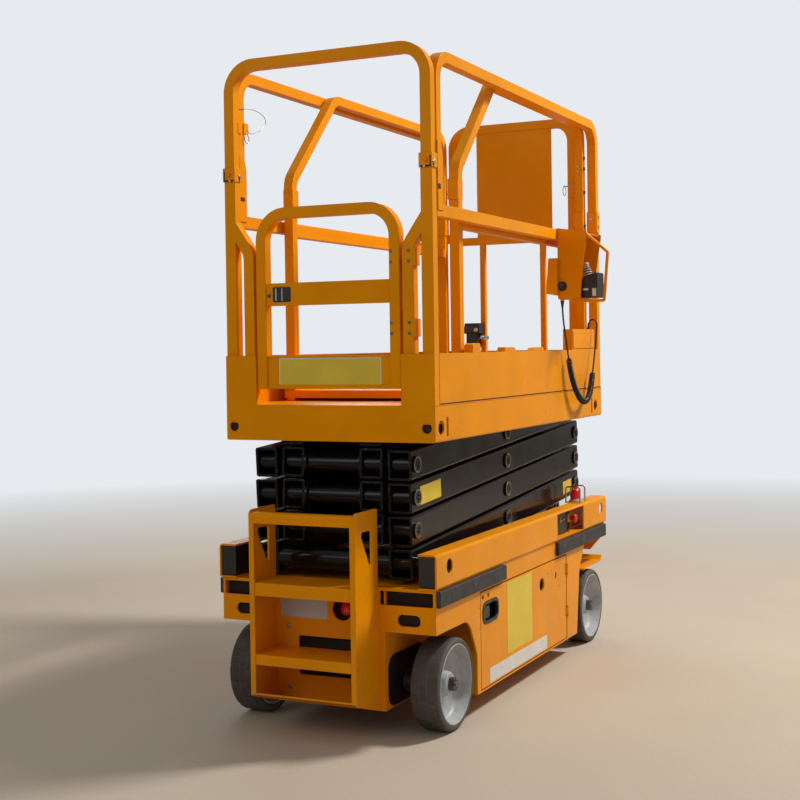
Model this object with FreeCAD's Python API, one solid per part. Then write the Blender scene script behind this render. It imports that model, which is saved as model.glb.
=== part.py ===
import FreeCAD, Part
import math
import os

# Self-propelled slab scissor lift. Millimetres, +X to the machine's right, +Y to its front end
# (the end that steers and that the platform slides out over), +Z up. The floor is z = 0, x = 0 is
# the middle of the machine and y = 0 is halfway between the axles.

V = FreeCAD.Vector
os.makedirs("parts", exist_ok=True)

RUN = 0.08            # radial clearance of a pin that turns in its bore
SEAT = 0.3            # gap between pieces that rest on each other and move
CLEAR = 5.0           # room between pieces that pass each other

# Overall sizes, which the rest is placed from
CHASSIS_HALF_L = 892.0
PLATE_HALF_W = 390.0  # outer face of the chassis sides
DECK_Z = 480.0        # top of the chassis deck, which the channels stand on
BELLY_Z = 75.0

# Wheels
WHEELBASE = 2 * (CHASSIS_HALF_L - 167)
TYRE_R = 150.0
TYRE_W = 100.0
TYRE_SHOULDER = 13.0
WHEEL_FACE = PLATE_HALF_W - 4    # outer face of the tyres
RIM_R = 108.0
RIM_WALL = 8.0
RIM_LIP = 4.0
DISC_DEPTH = 50.0     # how far the disc sits behind the outer face
DISC_T = 8.0
HUB_R = 38.0
HUB_LENGTH = 64.0
HUB_DEPTH = 22.0      # hub's outer end behind the tyre's face
STUB_R = 20.0
NUT_R = 23.0
NUT_L = 16.0

# Steering
KINGPIN_X = WHEEL_FACE - 130
KINGPIN_R = 16.0
FORK_R = 24.0
FORK_T = 10.0
KNUCKLE_H = 84.0
KNUCKLE_R = 26.0
STEER_ARM = 95.0

# Chassis
SIDE_T = 8.0
SHEET_T = 6.0
SIDE_LOW_Z = DECK_Z - 141        # lower edge of the sides over the rear wheels
CHANNEL_HALF_L = CHASSIS_HALF_L + 8
CHANNEL_HALF_W = PLATE_HALF_W + 8
CHANNEL_H = 112.0
CHANNEL_FLANGE = 64.0
CHANNEL_T = 6.0
WELL_REAR_Y = 169 - WHEELBASE / 2      # where the rear wheel wells end and the middle box begins
WELL_FRONT_Y = WHEELBASE / 2 - 217
WELL_WALL_X = WHEEL_FACE - 174
NECK_HALF_W = WHEEL_FACE - 246
NECK_Z = BELLY_Z + 35
TIE_HOLE_R = 24.0
TIE_HOLE_Y = (95 - CHASSIS_HALF_L, CHASSIS_HALF_L - 67)
TIE_HOLE_Z = DECK_Z + 65
WINDOW_Y = (CHASSIS_HALF_L - 633, CHASSIS_HALF_L - 302)
BUMPER_T = 15.0
BUMPER_Z = (DECK_Z - 55, DECK_Z - 4)
BUMPER_Y = ((6 - CHASSIS_HALF_L, WELL_REAR_Y + 245), (WELL_FRONT_Y - 253, CHASSIS_HALF_L - 19))
STOP_Y = WINDOW_Y[1] - 57
STOP_Z = DECK_Z + 58
LAMP_X = CHANNEL_HALF_W - 46
LAMP_Y = CHASSIS_HALF_L - 271

# Swing-out trays behind the side doors
DOOR_Y = (WELL_REAR_Y + 36, WELL_FRONT_Y - 132)
DOOR_Z = (BELLY_Z + 10, DECK_Z - 69)
DOOR_GAP = 5.0
TRAY_HINGE_Y = DOOR_Y[1] + DOOR_GAP
TRAY_HINGE_X = PLATE_HALF_W + 2
TRAY_KNUCKLE_R = 6.0
TRAY_PIN_R = 3.5
TRAY_HINGE_Z = (DOOR_Z[0] + 105, DOOR_Z[1] - 56)
TRAY_KNUCKLE_H = 30.0
TRAY_DEPTH = PLATE_HALF_W - 100
TRAY_LENGTH = DOOR_Y[1] - DOOR_Y[0] - 96
TRAY_T = 4.0

# Scissor stack
STAGES = 4
PIVOT_Y = CHASSIS_HALF_L - 72    # the fixed pivots at the front
PIVOT_Z = DECK_Z + 68
ARM_L = 2 * PIVOT_Y - 16         # pin to pin
ARM_H = 98.0
PITCH = ARM_H + 8                # height of one stage when lowered
ARM_W = 82.0
ARM_T = 5.0
ARM_EDGE = 8.0
ARM_END = 38.0        # tube beyond the pin
OUTER_X = CHANNEL_HALF_W - 193   # inner side face of the outer arms
INNER_X = OUTER_X - ARM_W - 20   # inner side face of the inner arms
PIN_R = 19.0
BOSS_R = 30.0
HEAD_R = 27.0
HEAD_T = 6.0
CROSS_R = 30.0
CROSS_WALL = 6.0
FLANGE_R = 40.0
FLANGE_T = 8.0
SLIDER_L = 140.0
SLIDER_PLAY = 1.0
SLIDER_SHAFT_R = 22.0
LOWER_CROSS_R = 37.5
UPPER_SLIDER_H = 50.0
UPPER_SLIDER_L = 90.0

# Lift cylinder, from the chassis deck to the rear cross tube of stage 1
CYL_FOOT = (PIVOT_Y - 520, DECK_Z + 42)
CYL_HEAD = (-139.0, 20.0)    # along and above the arm, from its rear pin
CYL_SWING = (61.0, -48.0)    # room for the eye in the ears, along and above the arm
CYL_R = 37.0
CYL_WALL = 5.0
CYL_EYE_R = 28.0
CYL_EYE_W = 52.0
CYL_PIN_R = 14.0
CYL_BARREL = ARM_L - 774
ROD_R = 21.0
LUG_R = 32.0
LUG_T = 12.0
LUG_GAP = 5.0

# Platform
PLATFORM_HALF_W = PLATE_HALF_W - 6
PLATFORM_REAR_Y = 32 - CHASSIS_HALF_L
PLATFORM_FRONT_Y = CHASSIS_HALF_L + 4
PLATFORM_LOW_Z = PIVOT_Z + STAGES * PITCH - 33
FLOOR_Z = PLATFORM_LOW_Z + 118
TOE_Z = FLOOR_Z + 164
PLATFORM_T = 6.0
TOE_T = 4.0
SIDE_FLANGE = 62.0
ENTRY_X = PLATFORM_HALF_W - 117  # half width of the entry
CORNER_HOLE_R = 17.0
CORNER_HOLE_Z = PLATFORM_LOW_Z + 46
CORNER_HOLE_IN = 29.0 # from the platform's side to the hole's middle
PIVOT_LUG_T = 10.0
PIVOT_LUG_R = 34.0

# Guard rails
RAIL = 36.0           # square tube
BEND = 80.0
RAIL_TOP = FLOOR_Z + 1131
REAR_TOP = RAIL_TOP + 22
MID_Z = FLOOR_Z + 618
SOCKET_Z = FLOOR_Z + 749
SOCKET_H = 46.0
SOCKET_T = 5.0
RAIL_LIP = 3.0        # bracket plates on the rails' inner faces
GATE_TUBE = 40.0
LOOP_X = ENTRY_X + 26
GATE_TOP = FLOOR_Z + 652
GATE_LOW = FLOOR_Z + 53
GATE_HALF_W = ENTRY_X - 1
GATE_PLATE_Z = (FLOOR_Z + 328, FLOOR_Z + 403)
GATE_PANEL_Z = (FLOOR_Z + 57, FLOOR_Z + 163)
GATE_LATCH_Z = FLOOR_Z + 365
GATE_HINGE_Z = (FLOOR_Z + 273, FLOOR_Z + 448)
GATE_PIN_R = 6.0
GATE_KNUCKLE_R = 11.0
GATE_KNUCKLE_H = 34.0

# Sliding platform extension
EXT_FLOOR_Z = FLOOR_Z + 37
EXT_REAR_Y = PLATFORM_FRONT_Y - 1441
EXT_HALF_W = PLATFORM_HALF_W - 42
EXT_X = PLATFORM_HALF_W - 81     # inner face of the extension's side rails
EXT_POST_Y = EXT_REAR_Y + 24
EXT_MID_Z = FLOOR_Z + 601
EXT_TUBE = 34.0
EXT_KNEE_Z = FLOOR_Z + 783
EXT_TOP_Y = EXT_POST_Y + 329
EXT_TOP_Z = RAIL_TOP + 7
FRONT_HALF_W = EXT_X - 8
FRONT_TOP = RAIL_TOP + 27
PANEL_HALF_W = FRONT_HALF_W - 125
INNER_POST_X = FRONT_HALF_W - 145

# Platform controls, hung outside the right rail
CARRIER_Y = PLATFORM_FRONT_Y - 556
CARRIER_Z = (FLOOR_Z + 364, FLOOR_Z + 642)
CARRIER_L = 190.0
CARRIER_T = 4.0
TOE_BOX_Y = (PLATFORM_FRONT_Y - 378, PLATFORM_FRONT_Y - 84)

# Values that follow from the sizes above
AXLE_Y = WHEELBASE / 2
WHEEL_IN = WHEEL_FACE - TYRE_W
THETA = math.asin(PITCH / ARM_L)
REST_DEG = math.degrees(THETA)
REAR_PIN_Y = PIVOT_Y - ARM_L * math.cos(THETA)
LEVEL = [PIVOT_Z + PITCH * k for k in range(STAGES + 1)]
CHANNEL_TOP = DECK_Z + CHANNEL_H
ARM_OUT = OUTER_X + ARM_W


def vec(plane, a, b, c):
    """A point from its two plane coordinates and its place along the plane's normal."""
    if plane == "yz":
        return V(c, a, b)
    if plane == "xz":
        return V(a, c, b)
    return V(a, b, c)


def corner(before, here, after, radius):
    """Start, middle and end of the arc that rounds a corner, or the corner alone."""
    if radius <= 0:
        return here, None, here
    first = (before - here).normalize()
    second = (after - here).normalize()
    half = first.getAngle(second) / 2
    reach = radius / math.tan(half)
    bisector = (first + second).normalize()
    middle = here + bisector * (radius / math.sin(half) - radius)
    return here + first * reach, middle, here + second * reach


def outline(points, plane, level):
    """Closed wire through (a, b) or (a, b, corner radius)."""
    flat = [V(p[0], p[1], 0) for p in points]
    count = len(flat)
    corners = []
    for i, p in enumerate(points):
        radius = p[2] if len(p) > 2 else 0.0
        corners.append(corner(flat[i - 1], flat[i], flat[(i + 1) % count], radius))
    edges = []
    for i, (start, middle, end) in enumerate(corners):
        if middle is not None:
            arc = [vec(plane, q.x, q.y, level) for q in (start, middle, end)]
            edges.append(Part.Arc(*arc).toShape())
        following = corners[(i + 1) % count][0]
        if end.distanceToPoint(following) > 1e-6:
            line = [vec(plane, q.x, q.y, level) for q in (end, following)]
            edges.append(Part.LineSegment(*line).toShape())
    return Part.Wire(edges)


def plate(points, plane, low, high):
    """Flat piece with the given outline, from low to high along the plane's normal."""
    return Part.Face(outline(points, plane, low)).extrude(vec(plane, 0, 0, high - low))


def panel(a, b, plane, low, high, radius=0.0):
    """Rectangular plate over the ranges a and b, with equal corner radii."""
    return plate([(a[0], b[0], radius), (a[1], b[0], radius), (a[1], b[1], radius), (a[0], b[1], radius)],
                 plane, low, high)


def block(x, y, z):
    """Box over three ranges."""
    return Part.makeBox(x[1] - x[0], y[1] - y[0], z[1] - z[0], V(x[0], y[0], z[0]))


def drum(plane, a, b, low, high, radius, bore=0.0):
    """Cylinder along the plane's normal, with a bore if one is given."""
    body = Part.makeCylinder(radius, high - low, vec(plane, a, b, low), vec(plane, 0, 0, 1))
    if bore:
        body = body.cut(Part.makeCylinder(bore, high - low, vec(plane, a, b, low), vec(plane, 0, 0, 1)))
    return body


def link(plane, p, q, radius, low, high):
    """Plate with round ends about p and q."""
    start, end = V(p[0], p[1], 0), V(q[0], q[1], 0)
    along = (end - start).normalize()
    side = V(-along.y, along.x, 0) * radius
    tip = along * radius
    ring = [start + side, start - tip, start - side, end - side, end + tip, end + side]
    at = [vec(plane, r.x, r.y, low) for r in ring]
    edges = [Part.Arc(at[0], at[1], at[2]).toShape(), Part.LineSegment(at[2], at[3]).toShape(),
             Part.Arc(at[3], at[4], at[5]).toShape(), Part.LineSegment(at[5], at[0]).toShape()]
    return Part.Face(Part.Wire(edges)).extrude(vec(plane, 0, 0, high - low))


def bent_tube(points, plane, low, high, width=RAIL, bend=BEND):
    """Square tube along a route in a plane; bend is the centre line's radius at the corners."""
    route = [V(p[0], p[1], 0) for p in points]
    radii = [p[2] if len(p) > 2 else bend for p in points]
    steps = [(b - a).normalize() for a, b in zip(route, route[1:])]
    sides = [V(-s.y, s.x, 0) for s in steps]
    half = width / 2
    ring = []
    for sign in (1, -1):
        edge = [(route[0].x + sides[0].x * half * sign, route[0].y + sides[0].y * half * sign)]
        for i in range(1, len(route) - 1):
            lean = (sides[i - 1] + sides[i]) * (1 / (1 + sides[i - 1].dot(sides[i])))
            turn = steps[i - 1].x * steps[i].y - steps[i - 1].y * steps[i].x
            inner = 1 if turn * sign > 0 else -1
            place = route[i] + lean * (half * sign)
            edge.append((place.x, place.y, radii[i] - inner * half))
        edge.append((route[-1].x + sides[-1].x * half * sign, route[-1].y + sides[-1].y * half * sign))
        ring += edge if sign > 0 else edge[::-1]
    return plate(ring, plane, low, high)


def rounded_rod(points, radius, bend):
    """Round bar or cord along a route in space, straight runs joined by tangent arcs."""
    route = [V(*p) for p in points]
    edges = []
    start = route[0]
    for i in range(1, len(route) - 1):
        if callable(bend):
            arc_r = bend(route[i - 1], route[i], route[i + 1])
        else:
            arc_r = bend
        first, middle, last = corner(route[i - 1], route[i], route[i + 1], arc_r)
        edges.append(Part.LineSegment(start, first).toShape())
        edges.append(Part.Arc(first, middle, last).toShape())
        start = last
    edges.append(Part.LineSegment(start, route[-1]).toShape())
    path = Part.Wire(edges)
    section = Part.Wire([Part.makeCircle(radius, route[0], route[1] - route[0])])
    return path.makePipeShell([section], True, False)


def fused(*shapes):
    """One solid from pieces that touch."""
    return shapes[0].multiFuse(list(shapes[1:])).removeSplitter()


def flip(shape):
    """The same piece on the machine's left."""
    return shape.mirror(V(0, 0, 0), V(1, 0, 0))


def pair(shape):
    """A piece on the right and its mirror image on the left."""
    return [shape, flip(shape)]


def group(*shapes):
    """Pieces of one node that don't touch."""
    return Part.makeCompound(list(shapes))


def save(node, shape):
    shape.exportStep("parts/" + node + ".step")


# Wheels: solid tyres on dished rims

def tyre():
    low, high = RIM_R, TYRE_R
    lip = RIM_R + RIM_LIP
    seat_end = WHEEL_FACE - RIM_WALL - 2
    points = [(WHEEL_IN + 4, low), (seat_end, low), (seat_end, lip + 1), (WHEEL_FACE, lip + 3),
              (WHEEL_FACE, high, TYRE_SHOULDER), (WHEEL_IN, high, TYRE_SHOULDER), (WHEEL_IN, lip)]
    face = Part.Face(outline(points, "xz", 0))
    return face.revolve(V(0, 0, 0), V(1, 0, 0), 360)


def rim():
    bore = STUB_R + RUN
    hub_out = WHEEL_FACE - HUB_DEPTH
    hub_in = hub_out - HUB_LENGTH
    disc_out = WHEEL_FACE - DISC_DEPTH
    disc_in = disc_out - DISC_T
    well = RIM_R - RIM_WALL
    lip_out = WHEEL_FACE - 2
    lip_in = lip_out - RIM_WALL
    points = [(hub_in, bore), (hub_out, bore), (hub_out, HUB_R - 4), (disc_out, HUB_R),
              (disc_out, well - 4, 8), (lip_out - 6, well + 2), (lip_out, well + 6),
              (lip_out, RIM_R + RIM_LIP),
              (lip_in, RIM_R + RIM_LIP), (lip_in, RIM_R), (WHEEL_IN + 4, RIM_R), (WHEEL_IN + 4, well),
              (disc_in, well - 2), (disc_in, HUB_R), (hub_in, HUB_R - 4)]
    face = Part.Face(outline(points, "xz", 0))
    return face.revolve(V(0, 0, 0), V(1, 0, 0), 360)


def wheel_at(shape, y, right):
    """A wheel piece drawn about the X axis, moved to its axle on one side."""
    placed = shape.copy()
    placed.translate(V(0, y, TYRE_R))
    return placed if right else flip(placed)


def stub_axle(start):
    """Axle end that a wheel turns on, with its nut, on the right and about the X axis."""
    hub_out = WHEEL_FACE - HUB_DEPTH
    shaft = drum("yz", 0, 0, start, hub_out + SEAT + NUT_L + 4, STUB_R)
    nut_points = [(NUT_R * math.cos(math.radians(60 * k)), NUT_R * math.sin(math.radians(60 * k)))
                  for k in range(6)]
    nut = plate(nut_points, "yz", hub_out + SEAT, hub_out + SEAT + NUT_L)
    shoulder = drum("yz", 0, 0, start, hub_out - HUB_LENGTH - SEAT, STUB_R + 6)
    return fused(shaft, nut, shoulder)


def rear_axle():
    """Cross tube between the wheel well walls, with a stub axle at each end."""
    tube_r = 30.0
    inside = WELL_WALL_X - SHEET_T
    tube = drum("yz", 0, 0, -inside, inside, tube_r)
    stub = stub_axle(WELL_WALL_X)
    boss = drum("yz", 0, 0, WELL_WALL_X, WELL_WALL_X + 8, HUB_R)
    ends = [fused(s, b) for s, b in zip(pair(stub), pair(boss))]
    whole = group(tube, *ends)
    whole.translate(V(0, -AXLE_Y, TYRE_R))
    return whole


def fork_levels():
    """Heights of the lower and upper fork plates that hold a kingpin."""
    half = KNUCKLE_H / 2
    low, high = TYRE_R - half - SEAT, TYRE_R + half + SEAT
    return (low - FORK_T, low), (high, high + FORK_T)


def front_axle():
    """Fork plates for both kingpins, carried by the neck's walls."""
    pieces = []
    for low, high in fork_levels():
        arm = link("xy", (NECK_HALF_W, AXLE_Y), (KINGPIN_X, AXLE_Y), FORK_R, low, high)
        foot = block((NECK_HALF_W, NECK_HALF_W + 30), (AXLE_Y - 60, AXLE_Y + 60), (low, high))
        arm = arm.cut(block((0, NECK_HALF_W), (AXLE_Y - 60, AXLE_Y + 60), (low - 1, high + 1)))
        arm = fused(arm, foot).cut(drum("xy", KINGPIN_X, AXLE_Y, low, high, KINGPIN_R + RUN))
        pieces += pair(arm)
    return group(*pieces)


def knuckle():
    """Kingpin, knuckle block, stub axle and steering arm of the right front wheel."""
    (low, _), (_, high) = fork_levels()
    half = KNUCKLE_H / 2
    pin = drum("xy", KINGPIN_X, AXLE_Y, low - 6, high + 6, KINGPIN_R)
    body = drum("xy", KINGPIN_X, AXLE_Y, TYRE_R - half, TYRE_R + half, KNUCKLE_R)
    stub = stub_axle(KINGPIN_X)
    stub.translate(V(0, AXLE_Y, TYRE_R))
    arm = link("xy", (KINGPIN_X, AXLE_Y), (KINGPIN_X - 14, AXLE_Y - STEER_ARM), 13, TYRE_R - 8, TYRE_R + 8)
    return fused(pin, body, stub, arm)


# Chassis

def channel_rails():
    """The two channels that the lower sliders run in, open towards the middle."""
    x0, x1 = CHANNEL_HALF_W - CHANNEL_FLANGE, CHANNEL_HALF_W
    y = (-CHANNEL_HALF_L, CHANNEL_HALF_L)
    z0, z1 = DECK_Z, CHANNEL_TOP
    section = [(x0, z0), (x1, z0, 10), (x1, z1, 12), (x0, z1), (x0, z1 - CHANNEL_T),
               (x1 - CHANNEL_T, z1 - CHANNEL_T, 2), (x1 - CHANNEL_T, z0 + CHANNEL_T, 2), (x0, z0 + CHANNEL_T)]
    rail = plate(section, "xz", y[0], y[1])
    for hole_y in TIE_HOLE_Y:
        rail = rail.cut(drum("yz", hole_y, TIE_HOLE_Z, x1 - CHANNEL_T - 1, x1 + 1, TIE_HOLE_R))
    window = block((x1 - CHANNEL_T - 0.5, x1 + 1), WINDOW_Y, (z0 + CHANNEL_T + 2, z1 - CHANNEL_T - 2))
    panel_y = (WINDOW_Y[1] - 106, WINDOW_Y[1] - 4)
    mount = block((x0 + 6, x0 + 10), panel_y, (z0 + CHANNEL_T - 1, z1 - CHANNEL_T + 1))
    return group(fused(rail.cut(window), mount), flip(rail))


def side_outline():
    """Outline of a side plate, with the wheel wells' edges."""
    rear = -CHASSIS_HALF_L
    return [(rear, DECK_Z - SHEET_T), (rear, SIDE_LOW_Z), (WELL_REAR_Y - 69, SIDE_LOW_Z, 70),
            (WELL_REAR_Y, SIDE_LOW_Z - 124, 60), (WELL_REAR_Y, BELLY_Z), (WELL_FRONT_Y, BELLY_Z),
            (WELL_FRONT_Y + 40, DECK_Z - 150, 60), (WELL_FRONT_Y + 112, DECK_Z - 60, 60),
            (WELL_FRONT_Y + 172, DECK_Z - SHEET_T)]


def door_cut():
    """Opening of a side door, with the hinge knuckles' room at its front edge."""
    y = (DOOR_Y[0] - DOOR_GAP, DOOR_Y[1] + 2 * DOOR_GAP)
    z = (DOOR_Z[0] - DOOR_GAP, DOOR_Z[1] + DOOR_GAP)
    return block((PLATE_HALF_W - SIDE_T - 1, PLATE_HALF_W + 1), y, z)


def hinge_pockets(low, high):
    """Room for the hinge knuckles in the plates on both sides of the gap."""
    half = TRAY_KNUCKLE_H / 2 + 6
    return [block((low, high), (TRAY_HINGE_Y - 14, TRAY_HINGE_Y + 18), (z - half, z + half))
            for z in TRAY_HINGE_Z]


def base_frame():
    """Welded lower chassis: deck, sides, ends, wheel wells and the neck between the front wheels."""
    t, top = SHEET_T, DECK_Z - SHEET_T
    rear, front = -CHASSIS_HALF_L, CHASSIS_HALF_L
    inside = PLATE_HALF_W - SIDE_T
    side = plate(side_outline(), "yz", inside, PLATE_HALF_W).cut(door_cut())
    for pocket in hinge_pockets(inside - 1, PLATE_HALF_W + 1):
        side = side.cut(pocket)
    deck = block((-PLATE_HALF_W, PLATE_HALF_W), (rear, front), (top, DECK_Z))
    belly = block((-inside, inside), (WELL_REAR_Y, WELL_FRONT_Y), (BELLY_Z, BELLY_Z + t))
    wall_rear = block((-inside, inside), (WELL_REAR_Y, WELL_REAR_Y + t), (BELLY_Z + t, top))
    wall_front = block((-inside, inside), (WELL_FRONT_Y - t, WELL_FRONT_Y), (BELLY_Z + t, top))
    spine = block((-t / 2, t / 2), (WELL_REAR_Y + t, WELL_FRONT_Y - t), (BELLY_Z + t, top))
    pieces = [deck, belly, wall_rear, wall_front, spine] + pair(side)
    pieces += pair(block((WELL_WALL_X - t, WELL_WALL_X), (rear + SIDE_T, WELL_REAR_Y), (BELLY_Z + 10, top)))
    pieces += pair(block((NECK_HALF_W - t, NECK_HALF_W), (WELL_FRONT_Y, front - SIDE_T), (NECK_Z, top)))
    pieces.append(block((-NECK_HALF_W, NECK_HALF_W), (WELL_FRONT_Y, front - SIDE_T), (NECK_Z - t, NECK_Z)))
    pieces.append(rear_plate())
    half = [(NECK_HALF_W, NECK_Z - t), (NECK_HALF_W, DECK_Z - 120), (PLATE_HALF_W - 60, DECK_Z - 120),
            (PLATE_HALF_W, DECK_Z - 50), (PLATE_HALF_W, top)]
    nose = [(-x, z) for x, z in reversed(half)] + half
    pieces.append(plate(nose, "xz", front - SIDE_T, front))
    pieces += pair(pivot_lug()) + pair(tray_pins()) + pair(wheel_guard())
    pieces.append(cylinder_foot())
    return fused(*pieces)


def rear_plate():
    """Rear end of the chassis: slotted bumper ends and the panel behind the ladder."""
    rear, top = -CHASSIS_HALF_L, DECK_Z - SHEET_T
    w = LADDER_HALF_W - LADDER_T
    points = [(-PLATE_HALF_W, top), (-PLATE_HALF_W, SIDE_LOW_Z), (-WELL_WALL_X, SIDE_LOW_Z),
              (-WELL_WALL_X, BELLY_Z + 10), (WELL_WALL_X, BELLY_Z + 10), (WELL_WALL_X, SIDE_LOW_Z),
              (PLATE_HALF_W, SIDE_LOW_Z), (PLATE_HALF_W, top)]
    sheet = plate(points, "xz", rear, rear + SIDE_T)
    low, high = rear - 1, rear + SIDE_T + 1
    for side in (1, -1):
        for (a0, a1), (b0, b1), radius in (
                ((LADDER_HALF_W + 5, PLATE_HALF_W - 9), (DECK_Z - 55, DECK_Z - 10), 6),
                ((PLATE_HALF_W - 133, PLATE_HALF_W - 53), (SIDE_LOW_Z + 22, SIDE_LOW_Z + 59), 17)):
            a = (a0, a1) if side > 0 else (-a1, -a0)
            sheet = sheet.cut(panel(a, (b0, b1), "xz", low, high, radius))
    sheet = sheet.cut(drum("xz", 60, DECK_Z - 80, low, high, 36))
    for z in ((DECK_Z - 229, DECK_Z - 175), (DECK_Z - 302, DECK_Z - 248)):
        sheet = sheet.cut(panel((-102, w - 74), z, "xz", low, high, 8))
    return sheet


def pivot_lug():
    """Ear on the deck for the scissors' fixed front pivot."""
    x0 = INNER_X + ARM_W + CLEAR
    ear = plate([(PIVOT_Y - 60, DECK_Z), (PIVOT_Y + 60, DECK_Z), (PIVOT_Y + 32, PIVOT_Z + 32, 30),
                 (PIVOT_Y - 32, PIVOT_Z + 32, 30)], "yz", x0, x0 + PIVOT_LUG_T)
    return ear.cut(drum("yz", PIVOT_Y, PIVOT_Z, x0, x0 + PIVOT_LUG_T, PIN_R + RUN))


def tray_pins():
    """Hinge pins of a door, each held by an ear above and one below the knuckle."""
    pieces = []
    for z in TRAY_HINGE_Z:
        half = TRAY_KNUCKLE_H / 2
        pin = drum("xy", TRAY_HINGE_X, TRAY_HINGE_Y, z - half - 5, z + half + 5, TRAY_PIN_R)
        pieces.append(pin)
        for low in (z - half - 5, z + half + SEAT):
            ear = block((PLATE_HALF_W - SIDE_T - 4, TRAY_HINGE_X + 5), (TRAY_HINGE_Y - 3, TRAY_HINGE_Y + 22),
                        (low, low + 5 - SEAT))
            pieces.append(ear)
        back = block((PLATE_HALF_W - SIDE_T - 4, PLATE_HALF_W - SIDE_T),
                     (TRAY_HINGE_Y + 12, TRAY_HINGE_Y + 40), (z - half - 12, z + half + 12))
        pieces.append(back)
    return fused(*pieces)


def wheel_guard():
    """Bent plate over a front wheel, hung from the deck."""
    y0, y1 = AXLE_Y - 85, AXLE_Y + 145
    z0 = TYRE_R * 2 + 18
    x0, x1 = WHEEL_FACE - 86, WHEEL_FACE
    roof = plate([(y0, z0 + 6), (y0 - 20, z0), (y0 - 20, z0 - 6), (y0, z0), (y1 - 20, z0, 20), (y1, z0 + 20),
                  (y1 - 5, z0 + 24), (y1 - 24, z0 + 6, 16)], "yz", x0, x1)
    web = plate([(y0 + 30, z0 + 4), (y1 - 40, z0 + 4), (y1 - 20, DECK_Z - SHEET_T),
                 (y0 + 20, DECK_Z - SHEET_T)], "yz", x0, x0 + SHEET_T)
    return fused(roof, web.cut(drum("yz", AXLE_Y + 25, z0 + 75, x0 - 1, x0 + SHEET_T + 1, 28)))


def rubber_bumpers():
    """Rubber strips along the sides under the channels, with the rear ones wrapped to the end."""
    strips = []
    for y in BUMPER_Y:
        section = [(PLATE_HALF_W, BUMPER_Z[0]), (PLATE_HALF_W + BUMPER_T, BUMPER_Z[0], 4),
                   (PLATE_HALF_W + BUMPER_T, BUMPER_Z[1], 4), (PLATE_HALF_W, BUMPER_Z[1])]
        strips += pair(plate(section, "xz", y[0], y[1]))
    return group(*strips)


LADDER_HALF_W = PLATE_HALF_W - 200
LADDER_REAR = -CHASSIS_HALF_L - 158
LADDER_TOP = DECK_Z + 251
LADDER_T = 6.0


def ladder():
    """Steps at the rear: two cheeks with hand holds, two treads, a top bar and a bottom pan."""
    y0, y1 = LADDER_REAR, -CHASSIS_HALF_L
    x1 = LADDER_HALF_W
    inner = x1 - LADDER_T
    cheek = plate([(y0, BELLY_Z + 60, 8), (y1, BELLY_Z + 10), (y1, LADDER_TOP, 6), (y0, LADDER_TOP, 18)],
                  "yz", inner, x1)
    hold_z = (LADDER_TOP - 203, LADDER_TOP - 63)
    hold = plate([(y0 + 36, hold_z[1], 12), (y1 - 42, hold_z[1], 12), (y1 - 42, hold_z[0], 10)], "yz",
                 inner - 1, x1 + 1)
    cheek = cheek.cut(hold)
    lip = block((inner - 12, inner), (y0, y0 + LADDER_T), (BELLY_Z + 65, LADDER_TOP - 20))
    pieces = pair(fused(cheek, lip))
    for z, drop in ((DECK_Z + 18, 42), (DECK_Z - 212, 33)):
        tread = plate([(y0 + 3, z - drop), (y0 + 3, z, 5), (y1, z), (y1, z - 5), (y0 + 8, z - 5),
                       (y0 + 8, z - drop)], "yz", -inner, inner)
        pieces.append(tread)
    low, high = LADDER_TOP - 44, LADDER_TOP - 8
    bar = plate([(y0, low, 3), (y0 + 35, low, 3), (y0 + 35, high, 8), (y0, high, 12)], "yz", -inner, inner)
    foot = BELLY_Z + 65
    pan = plate([(y0, foot + 6), (y0, foot), (y1, foot - 52), (y1, foot - 46)], "yz", -inner, inner)
    return fused(bar, pan, *pieces)


def warning_lamps():
    """Beacon between two wire hoops on the right channel."""
    x, y, z = LAMP_X, LAMP_Y, CHANNEL_TOP
    foot = drum("xy", x, y, z, z + 12, 26)
    dome = drum("xy", x, y, z + 12, z + 40, 20)
    cap = Part.makeSphere(20, V(x, y, z + 40), V(0, 0, 1), 0, 90, 360)
    shoe = block((x - 34, x + 34), (y - 28, y + 28), (z, z + 3))
    hoops = [bent_tube([(y - 24, z), (y - 24, z + 66), (y + 24, z + 66), (y + 24, z)], "yz",
                       x + off - 3, x + off + 3, 6, 12) for off in (-31, 31)]
    return fused(shoe, foot, dome, cap, *hoops)


def ground_controls():
    """Control box seen through the channel's window, with its stop button."""
    x0 = CHANNEL_HALF_W - CHANNEL_FLANGE + 10
    z = (DECK_Z + CHANNEL_T, CHANNEL_TOP - CHANNEL_T - 2)
    box = block((x0 - 14, x0 + 18), (WINDOW_Y[0] + 4, WINDOW_Y[1] - 106), z)
    key = drum("yz", WINDOW_Y[0] + 61, DECK_Z + 65, x0 + 18, x0 + 30, 11)
    switch = drum("yz", WINDOW_Y[0] + 141, DECK_Z + 65, x0 + 18, x0 + 26, 8)
    foot = drum("yz", STOP_Y, STOP_Z, x0, x0 + 14, 14)
    neck = drum("yz", STOP_Y, STOP_Z, x0 + 14, x0 + 30, 10)
    head = drum("yz", STOP_Y, STOP_Z, x0 + 30, x0 + 42, 18)
    return group(fused(box, key, switch), fused(foot, neck, head))


# Swing-out trays

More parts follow.
